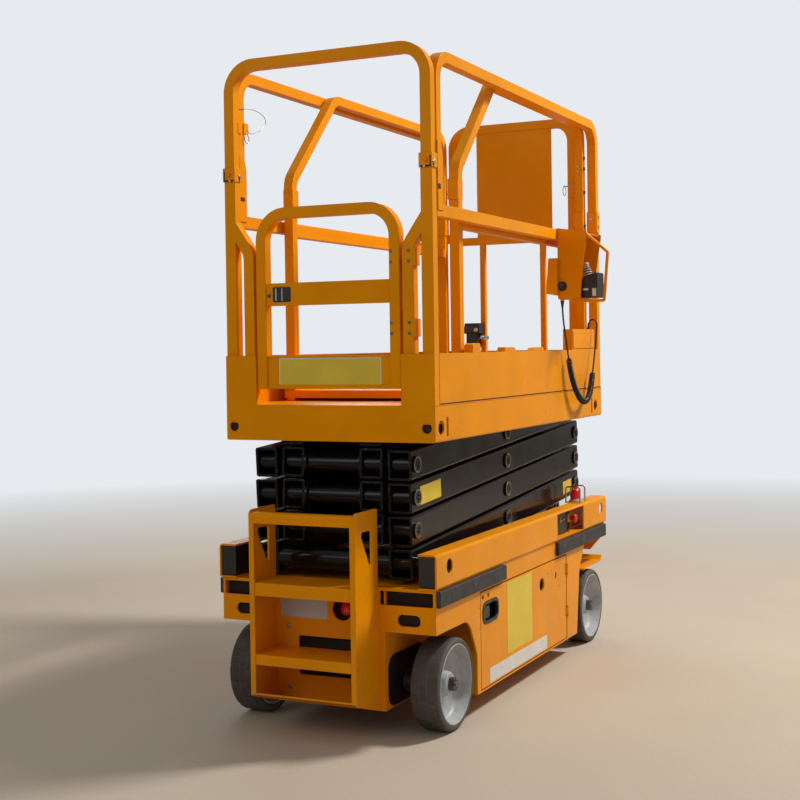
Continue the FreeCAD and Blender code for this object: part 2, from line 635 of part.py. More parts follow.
def door():
    """Door panel with its tray, hinge knuckles, latch cup and holes, on the right."""
    inside = PLATE_HALF_W - SIDE_T
    panel_ = panel(DOOR_Y, DOOR_Z, "yz", inside, PLATE_HALF_W, 4)
    for pocket in hinge_pockets(inside - 1, PLATE_HALF_W + 1):
        panel_ = panel_.cut(pocket)
    low, high = inside - 1, PLATE_HALF_W + 1
    rear, front, top = DOOR_Y[0], DOOR_Y[1], DOOR_Z[1]
    panel_ = panel_.cut(panel((rear + 23, rear + 154), (top - 105, top - 43), "yz", low, high, 24))
    panel_ = panel_.cut(drum("yz", front - 281, top - 72, low, high, 26))
    panel_ = panel_.cut(panel((front - 130, front - 114), (top - 74, top - 50), "yz", low, high))
    for y in (rear + 20, rear + 70):
        panel_ = panel_.cut(panel((y - 9, y + 9), (top - 25, top - 11), "yz", low, high))
    floor = block((inside - TRAY_DEPTH, inside), (TRAY_HINGE_Y - 20 - TRAY_LENGTH, TRAY_HINGE_Y - 20),
                  (DOOR_Z[0] + 6, DOOR_Z[0] + 6 + TRAY_T))
    end = block((inside - TRAY_DEPTH, inside), (TRAY_HINGE_Y - 24, TRAY_HINGE_Y - 20),
                (DOOR_Z[0] + 6, DOOR_Z[0] + 90))
    far = end.copy()
    far.translate(V(0, -TRAY_LENGTH + TRAY_T, 0))
    pieces = [panel_, floor, end, far]
    for z in TRAY_HINGE_Z:
        half = TRAY_KNUCKLE_H / 2
        knuckle_ = drum("xy", TRAY_HINGE_X, TRAY_HINGE_Y, z - half + SEAT, z + half - SEAT, TRAY_KNUCKLE_R)
        reach = (z - half - 12, z + half + 12)
        tab = block((inside - 4, inside), (TRAY_HINGE_Y - 40, TRAY_HINGE_Y - 8), reach)
        strap = block((inside - 4, TRAY_HINGE_X), (TRAY_HINGE_Y - 12, TRAY_HINGE_Y - 4),
                      (z - half + SEAT, z + half - SEAT))
        bore = drum("xy", TRAY_HINGE_X, TRAY_HINGE_Y, z - half, z + half, TRAY_PIN_R + RUN)
        pieces.append(fused(knuckle_, tab, strap).cut(bore))
    return fused(*pieces)


def tray_load(height, inset, gap, count):
    """Plain blocks standing on a tray, side by side."""
    inside = PLATE_HALF_W - SIDE_T - inset
    floor = DOOR_Z[0] + 6 + TRAY_T
    start = TRAY_HINGE_Y - 20 - TRAY_LENGTH + TRAY_T + 12
    length = (TRAY_LENGTH - 2 * TRAY_T - 24 - gap * (count - 1)) / count
    blocks = []
    for k in range(count):
        y = start + k * (length + gap)
        blocks.append(block((PLATE_HALF_W - SIDE_T - TRAY_DEPTH + 12, inside), (y, y + length),
                            (floor, floor + height)))
    return group(*blocks)


# Scissor arms

def arm(x0, rear_z, tilt, bores):
    """Right-hand arm: square tube with a boss at each pin; bores gives each boss's hole radius."""
    y0, y1 = -ARM_END, ARM_L + ARM_END
    half = ARM_H / 2
    outer = panel((x0, x0 + ARM_W), (-half, half), "xz", y0, y1, ARM_EDGE)
    inner = panel((x0 + ARM_T, x0 + ARM_W - ARM_T), (-half + ARM_T, half - ARM_T), "xz", y0, y1, ARM_EDGE - 3)
    tube = outer.cut(inner)
    stations = (0.0, ARM_L / 2, ARM_L)
    tube = fused(tube, *[drum("yz", y, 0, x0, x0 + ARM_W, BOSS_R) for y in stations])
    for y, bore in zip(stations, bores):
        if bore:
            tube = tube.cut(drum("yz", y, 0, x0, x0 + ARM_W, bore))
    return place_arm(tube, rear_z, tilt)


def place_arm(shape, rear_z, tilt):
    """Turn a level arm piece about its rear pin and move it there."""
    placed = shape.copy()
    placed.rotate(V(0, 0, 0), V(1, 0, 0), tilt)
    placed.translate(V(0, REAR_PIN_Y, rear_z))
    return placed


def headed_pin(y, z, start, end, radius=PIN_R):
    """Pin with a washer head beyond its end."""
    shank = drum("yz", y, z, start, end + SEAT, radius)
    head = drum("yz", y, z, end + SEAT, end + SEAT + HEAD_T, HEAD_R, radius * 0.55)
    return fused(shank, head.fuse(drum("yz", y, z, end + SEAT, end + SEAT + 2, radius)))


def cross_tube(y, z):
    """Tube that ties the two inner arms together at a pin, with a flange at each arm."""
    tube = drum("yz", y, z, -INNER_X, INNER_X, CROSS_R, CROSS_R - CROSS_WALL)
    flange = drum("yz", y, z, INNER_X - FLANGE_T, INNER_X, FLANGE_R)
    return [tube] + pair(flange)


def middle(k):
    """Centre pin of a stage."""
    return REAR_PIN_Y + ARM_L * math.cos(THETA) / 2, (LEVEL[k - 1] + LEVEL[k]) / 2


def inner_arms(k):
    """Inner frame of a stage: two arms, cross tubes and the pins that the outer arms turn on."""
    arms = pair(arm(INNER_X, LEVEL[k], -REST_DEG, (0, 0, 0)))
    pieces = arms + cross_tube(REAR_PIN_Y, LEVEL[k]) + cross_tube(PIVOT_Y, LEVEL[k - 1])
    start = INNER_X + ARM_W - 1
    y, z = middle(k)
    pieces += pair(headed_pin(y, z, start, ARM_OUT))
    if k > 1:
        pieces += pair(headed_pin(PIVOT_Y, LEVEL[k - 1], start, ARM_OUT))
    else:
        pieces += pair(headed_pin(PIVOT_Y, LEVEL[0], start, INNER_X + ARM_W + CLEAR + PIVOT_LUG_T))
    if k < STAGES:
        pieces += pair(headed_pin(REAR_PIN_Y, LEVEL[k], start, ARM_OUT))
    else:
        reach = PLATFORM_HALF_W - PLATFORM_T - 3
        pieces += pair(drum("yz", REAR_PIN_Y, LEVEL[k], start, reach, SLIDER_SHAFT_R))
    if k == 1:
        pieces += cylinder_head_ears()
    return fused(*pieces)


def outer_arms(k):
    """Outer arms of a stage. Stage 1 has the cross tube and shaft ends that carry the lower sliders."""
    turning = PIN_R + RUN
    rear_bore = 0 if k == 1 else turning
    front_bore = 0 if k == STAGES else turning
    right = arm(OUTER_X, LEVEL[k - 1], REST_DEG, (rear_bore, turning, front_bore))
    pieces = pair(right)
    if k == 1:
        tube = drum("yz", REAR_PIN_Y, LEVEL[0], -OUTER_X, OUTER_X, LOWER_CROSS_R, LOWER_CROSS_R - CROSS_WALL)
        reach = CHANNEL_HALF_W - CHANNEL_T - 3
        shafts = pair(drum("yz", REAR_PIN_Y, LEVEL[0], ARM_OUT, reach, SLIDER_SHAFT_R))
        return fused(tube, *pieces, *shafts)
    if k == STAGES:
        reach = CLEAR + PIVOT_LUG_T + 3
        start, end = OUTER_X - reach, ARM_OUT + reach
        pins = pair(drum("yz", PIVOT_Y, LEVEL[k], start, OUTER_X, PIN_R))
        pins += pair(drum("yz", PIVOT_Y, LEVEL[k], ARM_OUT, end, PIN_R))
        left = fused(pieces[1], pins[1], pins[3])
        return group(fused(pieces[0], pins[0], pins[2]), left)
    return group(*pieces)


def lower_sliders():
    """Wear blocks on the lower shaft, in the channels."""
    x = (CHANNEL_HALF_W - CHANNEL_FLANGE + 2, CHANNEL_HALF_W - CHANNEL_T - 2)
    y = (-CHANNEL_HALF_L + 3, REAR_PIN_Y + SLIDER_L / 2)
    z = (DECK_Z + CHANNEL_T + SEAT, CHANNEL_TOP - CHANNEL_T - SLIDER_PLAY)
    shoe = panel(y, z, "yz", x[0], x[1], 5)
    shoe = shoe.cut(drum("yz", REAR_PIN_Y, LEVEL[0], x[0], x[1], SLIDER_SHAFT_R + RUN))
    return group(*pair(shoe))


def upper_sliders():
    """Wear blocks on the upper shaft, in the platform's side channels."""
    x = (PLATFORM_HALF_W - SIDE_FLANGE + 2, PLATFORM_HALF_W - PLATFORM_T - 2)
    y = (REAR_PIN_Y - 42, REAR_PIN_Y - 42 + UPPER_SLIDER_L)
    z = track_z()
    shoe = panel(y, (z[0] + SLIDER_PLAY, z[1] - SEAT), "yz", x[0], x[1], 5)
    shoe = shoe.cut(drum("yz", REAR_PIN_Y, LEVEL[STAGES], x[0], x[1], SLIDER_SHAFT_R + RUN))
    return group(*pair(shoe))


def track_z():
    """Lower and upper faces of the track that the upper sliders run in."""
    return LEVEL[STAGES] - UPPER_SLIDER_H / 2, LEVEL[STAGES] + UPPER_SLIDER_H / 2


# Lift cylinder

def on_arm(offset):
    """A point near the rear pin of the first inner arm, given rearward along the arm and square to it."""
    c, s = math.cos(THETA), math.sin(THETA)
    return REAR_PIN_Y - offset[0] * c + offset[1] * s, LEVEL[1] + offset[0] * s + offset[1] * c


def cylinder_head_ears():
    """Ears on the rear cross tube, with pin stubs for the rod's eye and room for its swing."""
    x0 = CYL_EYE_W / 2 + LUG_GAP
    head = on_arm(CYL_HEAD)
    swung = on_arm((CYL_HEAD[0] + CYL_SWING[0], CYL_HEAD[1] + CYL_SWING[1]))
    tube = (REAR_PIN_Y, LEVEL[1])
    ear = fused(*[link("yz", p, q, LUG_R, x0, x0 + LUG_T)
                  for p, q in ((tube, head), (head, swung), (tube, swung))])
    ear = ear.cut(drum("yz", *tube, x0, x0 + LUG_T, CROSS_R - 1))
    stub = drum("yz", *head, x0, x0 + LUG_T + 6, CYL_PIN_R)
    return pair(ear) + pair(stub)


def cylinder_foot():
    """Ears on the deck with the pin of the cylinder's foot."""
    x0 = CYL_EYE_W / 2 + LUG_GAP
    y, z = CYL_FOOT
    ear = plate([(y - LUG_R - 4, DECK_Z), (y + LUG_R + 4, DECK_Z), (y + LUG_R, z + LUG_R, 30),
                 (y - LUG_R, z + LUG_R, 30)], "yz", x0, x0 + LUG_T)
    pin = drum("yz", y, z, -x0 - LUG_T - 6, x0 + LUG_T + 6, CYL_PIN_R)
    return fused(pin, *pair(ear))


def cylinder_frame():
    """Foot, unit direction and length of the lowered cylinder, in the YZ plane."""
    foot, head = V(0, *CYL_FOOT), V(0, *on_arm(CYL_HEAD))
    along = head - foot
    return foot, along, along.Length


def lay_cylinder(shape):
    """Turn a piece drawn along +Z from the foot eye to where the cylinder lies."""
    foot, along, _ = cylinder_frame()
    placed = shape.copy()
    angle = math.degrees(math.atan2(-along.y, along.z))
    placed.rotate(V(0, 0, 0), V(1, 0, 0), angle)
    placed.translate(foot)
    return placed


def lift_barrel():
    eye = drum("yz", 0, 0, -CYL_EYE_W / 2, CYL_EYE_W / 2, CYL_EYE_R)
    start = LUG_R + 18
    neck = drum("xy", 0, 0, CYL_EYE_R - 8, LUG_R + 10, CYL_EYE_W / 2 - 2)
    body = drum("xy", 0, 0, LUG_R + 8, CYL_BARREL, CYL_R)
    bore = drum("xy", 0, 0, start, CYL_BARREL, CYL_R - CYL_WALL)
    gland = drum("xy", 0, 0, CYL_BARREL - 40, CYL_BARREL, CYL_R + 5, ROD_R + RUN)
    ports = [drum("xz", 0, at, CYL_R - 3, CYL_R + 16, 11) for at in (start + 30, CYL_BARREL - 70)]
    pipe = bent_tube([(CYL_R + 9, start + 30), (CYL_R + 9, CYL_BARREL - 70)], "yz", -5, 5, 10)
    whole = fused(eye, neck, body.cut(bore), gland, pipe, *ports)
    hole = drum("yz", 0, 0, -CYL_EYE_W / 2, CYL_EYE_W / 2, CYL_PIN_R + RUN)
    return lay_cylinder(whole.cut(hole))


def lift_rod():
    _, _, length = cylinder_frame()
    start = LUG_R + 20
    rod = drum("xy", 0, 0, start, length - CYL_EYE_R + 8, ROD_R)
    piston = drum("xy", 0, 0, start, start + 60, CYL_R - CYL_WALL - RUN)
    eye = drum("yz", 0, length, -CYL_EYE_W / 2, CYL_EYE_W / 2, CYL_EYE_R)
    hole = drum("yz", 0, length, -CYL_EYE_W / 2, CYL_EYE_W / 2, CYL_PIN_R + 1)
    return lay_cylinder(fused(rod, piston, eye).cut(hole))


# Platform

def platform_frame():
    """Floor, side channels with the upper tracks, toe boards, rear sheet and pivot ears."""
    w, t = PLATFORM_HALF_W, PLATFORM_T
    y = (PLATFORM_REAR_Y, PLATFORM_FRONT_Y)
    low, high = track_z()
    edge = w - SIDE_FLANGE
    section = [(edge, PLATFORM_LOW_Z), (w, PLATFORM_LOW_Z, 7), (w, FLOOR_Z), (w - t, FLOOR_Z),
               (w - t, high + t), (edge, high + t), (edge, high), (w - t, high), (w - t, low), (edge, low)]
    side = plate(section, "xz", y[0], y[1])
    board_y = (y[0] + GATE_TUBE, rail_ends()[1][0])
    toe = block((w - TOE_T - 1, w - 1), board_y, (FLOOR_Z - t, TOE_Z))
    cap = block((w - 16, w - 1), board_y, (TOE_Z - 4, TOE_Z))
    side = fused(side, toe, cap)
    for hole_y in (y[0] + 45, y[1] - 82):
        side = side.cut(drum("yz", hole_y, CORNER_HOLE_Z, w - t - 1, w + 1, 23))
    for slot_y in (y[0] + 95, y[1] - 134):
        slot_z = (PLATFORM_LOW_Z + 16, PLATFORM_LOW_Z + 77)
        side = side.cut(panel((slot_y - 7, slot_y + 7), slot_z, "yz", w - t - 1, w + 1))
    floor = block((-w + t, w - t), y, (FLOOR_Z - t, FLOOR_Z))
    end = y[1] - t - CLEAR
    notch = EXT_HALF_W + CLEAR
    floor = floor.cut(block((-notch, notch), (end, y[1] + 1), (FLOOR_Z - t - 1, FLOOR_Z + 1)))
    pieces = pair(side) + [floor, platform_rear()]
    pieces.append(block((-edge, edge), (end - t, end), (PLATFORM_LOW_Z + 75, FLOOR_Z - t)))
    pieces.append(toe_box())
    for x0 in (OUTER_X - CLEAR - PIVOT_LUG_T, ARM_OUT + CLEAR):
        pieces += pair(platform_lug(x0))
    return fused(*pieces)


def platform_rear():
    """Rear sheet, cut away at the entry."""
    w, y = PLATFORM_HALF_W, PLATFORM_REAR_Y
    points = [(-w, PLATFORM_LOW_Z, 7), (w, PLATFORM_LOW_Z, 7), (w, TOE_Z), (ENTRY_X, TOE_Z),
              (ENTRY_X, FLOOR_Z), (-ENTRY_X, FLOOR_Z), (-ENTRY_X, TOE_Z), (-w, TOE_Z)]
    sheet = plate(points, "xz", y - 2, y + PLATFORM_T - 2)
    for side in (1, -1):
        at = side * (w - CORNER_HOLE_IN)
        sheet = sheet.cut(drum("xz", at, CORNER_HOLE_Z, y - 3, y + PLATFORM_T, CORNER_HOLE_R))
    return sheet


def platform_lug(x0):
    """Ear under the floor for the top stage's front pins."""
    z = LEVEL[STAGES]
    ear = plate([(PIVOT_Y - 55, FLOOR_Z - PLATFORM_T), (PIVOT_Y - 30, z - PIVOT_LUG_R, 28),
                 (PIVOT_Y + 30, z - PIVOT_LUG_R, 28), (PIVOT_Y + 55, FLOOR_Z - PLATFORM_T)],
                "yz", x0, x0 + PIVOT_LUG_T)
    return ear.cut(drum("yz", PIVOT_Y, z, x0, x0 + PIVOT_LUG_T, PIN_R + RUN))


def rail_ends():
    """Y of the main side rails' rear and front legs, as ranges."""
    rear = PLATFORM_REAR_Y + GATE_TUBE + 2
    front = PLATFORM_FRONT_Y - 3
    return (rear, rear + RAIL), (front - RAIL, front)


def side_rail():
    """Folding side rail on the right, its front post, mid rail and the brackets that it hinges in."""
    x1 = PLATFORM_HALF_W - 1
    x0 = x1 - RAIL
    rear, front = rail_ends()
    ry, fy = sum(rear) / 2, sum(front) / 2
    top = RAIL_TOP - RAIL / 2
    hoop = bent_tube([(ry, MID_Z + 60), (ry, top), (fy, top), (fy, SOCKET_Z - 40)], "yz", x0, x1)
    post = block((x0, x1), front, (FLOOR_Z, SOCKET_Z - 40))
    mid = block((x0, x1), (PLATFORM_REAR_Y + GATE_TUBE, front[0]), (MID_Z - 20, MID_Z + 20))
    bracket = block((x0 - RAIL_LIP, x1 + SOCKET_T), (front[0] - SOCKET_T, front[1] - 1),
                    (SOCKET_Z - 86, SOCKET_Z))
    slot = plate([(rear[0], MID_Z), (rear[1] + 6, MID_Z), (rear[1] + 6, SOCKET_Z + 44),
                  (rear[1] - 8, SOCKET_Z + 89), (rear[0], SOCKET_Z + 89)], "yz", x1, x1 + RAIL_LIP)
    inner = slot.copy()
    inner.translate(V(-RAIL - RAIL_LIP, 0, 0))
    pins = [drum("yz", fy, z, x0 - RAIL_LIP, x1 + SOCKET_T + 4, 7) for z in (SOCKET_Z - 20, SOCKET_Z - 62)]
    return fused(hoop, post, mid, bracket, slot, inner, *pins)


def rear_rail():
    """Corner posts, the loops beside the gate and the folding hoop over the entry."""
    y0 = PLATFORM_REAR_Y + 0.0
    y1 = y0 + GATE_TUBE
    x1 = PLATFORM_HALF_W - 2
    px = x1 - GATE_TUBE / 2
    pieces = []
    post = block((x1 - GATE_TUBE, x1), (y0 + 4, y1), (FLOOR_Z, SOCKET_Z + 4))
    loop = bent_tube([(LOOP_X, FLOOR_Z), (LOOP_X, MID_Z - 111), (px, MID_Z - 11)], "xz", y0 + 4, y1,
                     GATE_TUBE - 2, 70)
    socket = block((x1 - GATE_TUBE - 3, x1 + 3), (y0 - 1, y1 + 1), (SOCKET_Z, SOCKET_Z + SOCKET_H))
    pin = drum("xz", px, SOCKET_Z + 24, y0 - 7, y1 + 1, 7)
    pieces += pair(post) + pair(loop) + pair(socket) + pair(pin)
    for z in GATE_HINGE_Z:
        pieces.append(gate_hinge_ear(z))
    top = REAR_TOP - RAIL / 2
    pieces.append(bent_tube([(-px, SOCKET_Z), (-px, top), (px, top), (px, SOCKET_Z)], "xz",
                            y0 + 4, y0 + 4 + RAIL, RAIL, 92))
    catch = block((-LOOP_X + 15, -GATE_HALF_W - 1), (y1, y1 + 14), (GATE_LATCH_Z - 17, GATE_LATCH_Z + 18))
    return fused(*pieces, catch)


def gate_axis():
    """Hinge line of the gate, inside the rear rail's plane."""
    return GATE_HALF_W + 12, PLATFORM_REAR_Y + GATE_TUBE + GATE_KNUCKLE_R + CLEAR


def gate_hinge_ear(z):
    """Ears and pin of one gate hinge, on the loop beside the gate."""
    x, y = gate_axis()
    half = GATE_KNUCKLE_H / 2
    pin = drum("xy", x, y, z - half - 7, z + half + 7, GATE_PIN_R)
    ears = [block((x - 8, LOOP_X + 8), (PLATFORM_REAR_Y + GATE_TUBE, y + 8), (low, low + 6))
            for low in (z - half - SEAT - 6, z + half + SEAT)]
    return fused(pin, *ears)


def gate():
    """Entry gate, which swings in from the left: hoop, mid plate with latch cut-out and low panel."""
    y0, y1 = PLATFORM_REAR_Y + 4, PLATFORM_REAR_Y + GATE_TUBE
    x = GATE_HALF_W - GATE_TUBE / 2
    hoop = bent_tube([(-x, GATE_LOW), (-x, GATE_TOP - 18), (x, GATE_TOP - 18), (x, GATE_LOW)], "xz",
                     y0, y1, GATE_TUBE - 4, 92)
    inner = x - GATE_TUBE / 2 + 3
    mid = block((-inner, inner), (y0 + 4, y0 + 22), GATE_PLATE_Z)
    mid = mid.cut(panel((-inner + 28, -inner + 78), (GATE_LATCH_Z - 18, GATE_LATCH_Z + 20), "xz", y0, y1, 4))
    low = block((-inner, inner), (y0 + 6, y0 + 9), GATE_PANEL_Z)
    foot = block((-inner, inner), (y0 + 4, y0 + 24), (GATE_LOW, GATE_LOW + 14))
    lid = block((-inner, inner), (y0 + 4, y0 + 24), (GATE_PANEL_Z[1] - 8, GATE_PANEL_Z[1]))
    pieces = [hoop, mid, low, foot, lid]
    hx, hy = gate_axis()
    half = GATE_KNUCKLE_H / 2
    for z in GATE_HINGE_Z:
        eye = drum("xy", hx, hy, z - half, z + half, GATE_KNUCKLE_R - 1)
        leaf = plate([(hx - 34, y1 - 1), (hx - 20, y1 - 1), (hx - 2, hy - 9), (hx, hy - 2), (hx - 12, hy - 2),
                      (hx - 34, y1 + 8)], "xy", z - half, z + half)
        pieces.append(fused(eye, leaf).cut(drum("xy", hx, hy, z - half, z + half, GATE_PIN_R + RUN)))
    bolt = drum("yz", y1 + 8, GATE_LATCH_Z, -GATE_HALF_W + 4, -GATE_HALF_W + 70, 6)
    hold = block((-GATE_HALF_W + 20, -GATE_HALF_W + 60), (y1 - 1, y1 + 8),
                 (GATE_LATCH_Z - 12, GATE_LATCH_Z + 12))
    return fused(bolt, hold, *pieces)


# Extension

def extension_deck():
    """Sliding floor with its runners, low side boards and the front board."""
    w, t = EXT_HALF_W, PLATFORM_T
    y = (EXT_REAR_Y, PLATFORM_FRONT_Y - 3)
    floor = block((-w, w), y, (EXT_FLOOR_Z - t, EXT_FLOOR_Z))
    lip = block((-w, w), (y[0], y[0] + 4), (FLOOR_Z + 10, EXT_FLOOR_Z))
    boards = pair(block((w - 4, w), (y[0], y[1]), (EXT_FLOOR_Z - t, TOE_Z - 20)))
    runners = pair(block((w - 40, w - 10), (y[0], y[1] - 2 * CLEAR), (FLOOR_Z + SEAT, EXT_FLOOR_Z - t)))
    front = block((-w, w), (y[1], y[1] + 3), (FLOOR_Z - 40, TOE_Z))
    return fused(floor, lip, front, *boards, *runners)


def extension_rails():
    """Side rails with the raked rear end, the front hoop with its sheet, and the inner posts."""
    w = EXT_TUBE
    x0, x1 = EXT_X, EXT_X + w
    y1 = PLATFORM_FRONT_Y - 3 - RAIL - 2
    fy = y1 - w / 2
    top = EXT_TOP_Z - w / 2
    base = EXT_FLOOR_Z
    side = bent_tube([(EXT_POST_Y, base), (EXT_POST_Y, EXT_KNEE_Z), (EXT_TOP_Y, top), (fy, top), (fy, base)],
                     "yz", x0, x1, w, 70)
    mid = block((x0, x1), (EXT_POST_Y + w / 2, fy - w / 2), (EXT_MID_Z - 18, EXT_MID_Z + 18))
    strap = block((x0 - 4, x1), (EXT_POST_Y - w / 2 - 4, EXT_POST_Y + w / 2 + 4), (SOCKET_Z - 70, SOCKET_Z))
    brace = block((x0 - 4, x1), (fy - w / 2 - 4, fy + w / 2 + 2), (SOCKET_Z - 70, SOCKET_Z))
    pieces = pair(fused(side, mid, strap, brace))
    hx = FRONT_HALF_W - RAIL / 2
    hy = (y1 + 2, y1 + 2 + RAIL)
    hoop = bent_tube([(-hx, base), (-hx, FRONT_TOP - RAIL / 2), (hx, FRONT_TOP - RAIL / 2), (hx, base)],
                     "xz", hy[0], hy[1], RAIL, 80)
    rail = block((-hx, hx), hy, (MID_Z + 15, MID_Z + 47))
    sheet = block((8 - PANEL_HALF_W, PANEL_HALF_W + 16), (hy[0] + 4, hy[0] + 7),
                  (MID_Z + 45, FRONT_TOP - RAIL + 2))
    posts = pair(block((INNER_POST_X - 21, INNER_POST_X + 1), (hy[0], hy[0] + 24), (base, MID_Z + 17)))
    ties = pair(block((hx, x1), (hy[0] - 6, hy[0] + 6), (MID_Z + 25, MID_Z + 65)))
    low_ties = pair(block((hx, x1), (hy[0] - 6, hy[0] + 6), (base + 60, base + 100)))
    return fused(hoop, rail, sheet, *posts, *pieces, *ties, *low_ties)


def outlet_box():
    """Socket box inside the extension, on the front posts."""
    y1 = PLATFORM_FRONT_Y - 3 - RAIL
    return block((-INNER_POST_X - 70, -INNER_POST_X + 45), (y1 - 60, y1),
                 (EXT_FLOOR_Z + 134, EXT_FLOOR_Z + 246))


def toe_box():
    """Cable box on the right toe board."""
    x1 = PLATFORM_HALF_W - 1
    box = block((x1 - 40, x1), TOE_BOX_Y, (TOE_Z, TOE_Z + 84))
    gland = drum("xy", x1 - 11, TOE_BOX_Y[1] - 42, TOE_Z + 84, TOE_Z + 87, 9)
    return fused(box, gland)


# Platform controls

def control_carrier():
    """Folded carrier hooked over the mid rail, with two cheeks and a bent guard bar."""
    t = CARRIER_T
    x0 = PLATFORM_HALF_W + 1
    low, high = CARRIER_Z
    y = (CARRIER_Y, CARRIER_Y + CARRIER_L)
    cheek_points = [(x0, low), (x0 + 92, low), (x0 + 98, low + 110), (x0 + 121, high - 18, 10), (x0, high, 6)]
    cheek = plate(cheek_points, "xz", y[0], y[0] + t)
    cheek = cheek.cut(drum("xz", x0 + 18, low + 50, y[0] - 1, y[0] + t + 1, 16))
    far = plate(cheek_points, "xz", y[1] - t, y[1])
    back = block((x0, x0 + t), y, (low, high))
    roof = block((x0, x0 + 110), y, (high - 26, high - 22))
    floor = block((x0, x0 + 92), y, (low, low + t))
    inside = PLATFORM_HALF_W - RAIL - 1 - SEAT
    hook_y = (y[0] + 20, y[1] - 20)
    hook = block((inside - t, x0 + t), hook_y, (MID_Z + 20 + SEAT, MID_Z + 24))
    drop = block((inside - t, inside), hook_y, (MID_Z - 40, MID_Z + 24))
    flap = plate([(x0 - 42, low + 22), (x0, low + 14), (x0, low + 160), (x0 - 32, low + 160)], "xz",
                 y[0] - 20, y[0] - 20 + t)
    flap_web = block((x0, x0 + t), (y[0] - 20, y[0] + 2), (low + 14, low + 160))
    gland = drum("xy", x0 + 12, y[0] + 16, low - 8, low, 8)
    bar = rounded_rod([(x0 + 112, y[0] + 6, high - 24), (x0 + 200, y[0] + 10, high - 100),
                       (x0 + 184, y[0] + 10, low - 9), (x0 + 60, y[0] + 14, low - 9),
                       (x0 + 60, y[0] + 14, low + 2)], 6, 8)
    return fused(cheek, far, back, roof, floor, hook, drop, flap, flap_web, gland, bar)


def control_box():
    """Hand control with its joystick, standing in the carrier."""
    x0 = PLATFORM_HALF_W + 1 + CARRIER_T + 84
    y = (CARRIER_Y + 20, CARRIER_Y + 112)
    z0 = CARRIER_Z[0] + CARRIER_T
    shell = plate([(x0 - 60, z0, 4), (x0 + 58, z0, 4), (x0 + 58, z0 + 99, 6), (x0 - 60, z0 + 50, 4)],
                  "xz", y[0], y[1])
    mid = sum(y) / 2
    bellows = Part.makeCone(27, 11, 50, V(x0 + 20, mid, z0 + 74), V(-0.18, 0, 1))
    knob = Part.makeCylinder(11, 20, V(x0 + 12, mid, z0 + 121), V(-0.18, 0, 1))
    return fused(shell, bellows, knob)


# Curly cable from the controls to the box on the toe board

LEAD_R = 3.5
CURL_R = 12.5
CORD_FROM = (PLATFORM_HALF_W, CARRIER_Y, CARRIER_Z[0])


def route(points):
    """Route points from their distances to the carrier's lower rear corner."""
    return [tuple(start + step for start, step in zip(CORD_FROM, point)) for point in points]


LEAD_OUT = route([(13, 16, -8), (13, 16, -46), (15, 23, -96), (18, 38, -151), (19.1, 52.3, -199),
                  (21, 60, -231)])
CURL = route([(21, 60, -231), (24, 72, -281), (29, 96, -337), (35, 138, -387), (37, 195, -413),
              (35, 252, -405), (31, 300, -379), (28, 332, -339), (26, 357, -295)])
LEAD_IN = route([(26, 357, -295), (24.3, 377.7, -258.5), (23, 400, -209), (23, 417, -159), (24.5, 428, -115),
                 (24.5, 430, -82), (6.2, 430, -71.5), (-12, 430, -82), (-12, 430, -113)])


def route_bend(before, here, after):
    """Radius of the arc at a point of the route: as large as the shorter run allows."""
    first, second = here - before, after - here
    turn = first.getAngle(second)
    return 0.45 * min(first.Length, second.Length) / math.tan(turn / 2)


def cord(points, radius):
    radii = [route_bend(V(*a), V(*b), V(*c)) for a, b, c in zip(points, points[1:], points[2:])]
    print("cord radii:", [round(r) for r in radii])
    return rounded_rod(points, radius, route_bend)


def build():
    """Every node of the machine, by name."""
    nodes = {
        "channel_rails": channel_rails(), "base_frame": base_frame(), "rubber_bumpers": rubber_bumpers(),
        "rear_ladder": ladder(), "warning_lamps": warning_lamps(), "ground_controls": ground_controls(),
        "rear_axle": rear_axle(), "front_axle": front_axle(),
        "lower_sliders": lower_sliders(), "upper_sliders": upper_sliders(),
        "lift_barrel": lift_barrel(), "lift_rod": lift_rod(),
        "platform_frame": platform_frame(), "rear_rail": rear_rail(), "entry_gate": gate(),
        "extension_deck": extension_deck(), "extension_rails": extension_rails(), "outlet_box": outlet_box(),
        "control_carrier": control_carrier(), "control_box": control_box(),
        "cable_leads": group(cord(LEAD_OUT, LEAD_R), cord(LEAD_IN, LEAD_R)),
        "cable_curl": cord(CURL, CURL_R), "side_rails": group(*pair(side_rail())),
    }
    tyre_, rim_, knuckle_, door_ = tyre(), rim(), knuckle(), door()
    for right, side in ((True, "right"), (False, "left")):
        for y, end in ((-AXLE_Y, "rear"), (AXLE_Y, "front")):
            nodes["tyre_%s_%s" % (end, side)] = wheel_at(tyre_, y, right)
            nodes["rim_%s_%s" % (end, side)] = wheel_at(rim_, y, right)
        nodes["knuckle_" + side] = knuckle_ if right else flip(knuckle_)
        nodes["door_" + side] = door_ if right else flip(door_)
    height = DOOR_Z[1] - DOOR_Z[0] - 81
    nodes["hydraulic_unit"] = tray_load(height - 15, 20, 30, 2)
    nodes["battery_block"] = flip(tray_load(height, 14, 6, 4))
    for k in range(1, STAGES + 1):
        nodes["inner_arms_%d" % k] = inner_arms(k)
        nodes["outer_arms_%d" % k] = outer_arms(k)
    return nodes


for name, shape in build().items():
    save(name, shape)
    print("%-18s solids %d  volume %.0f cm3" % (name, len(shape.Solids), shape.Volume / 1000))
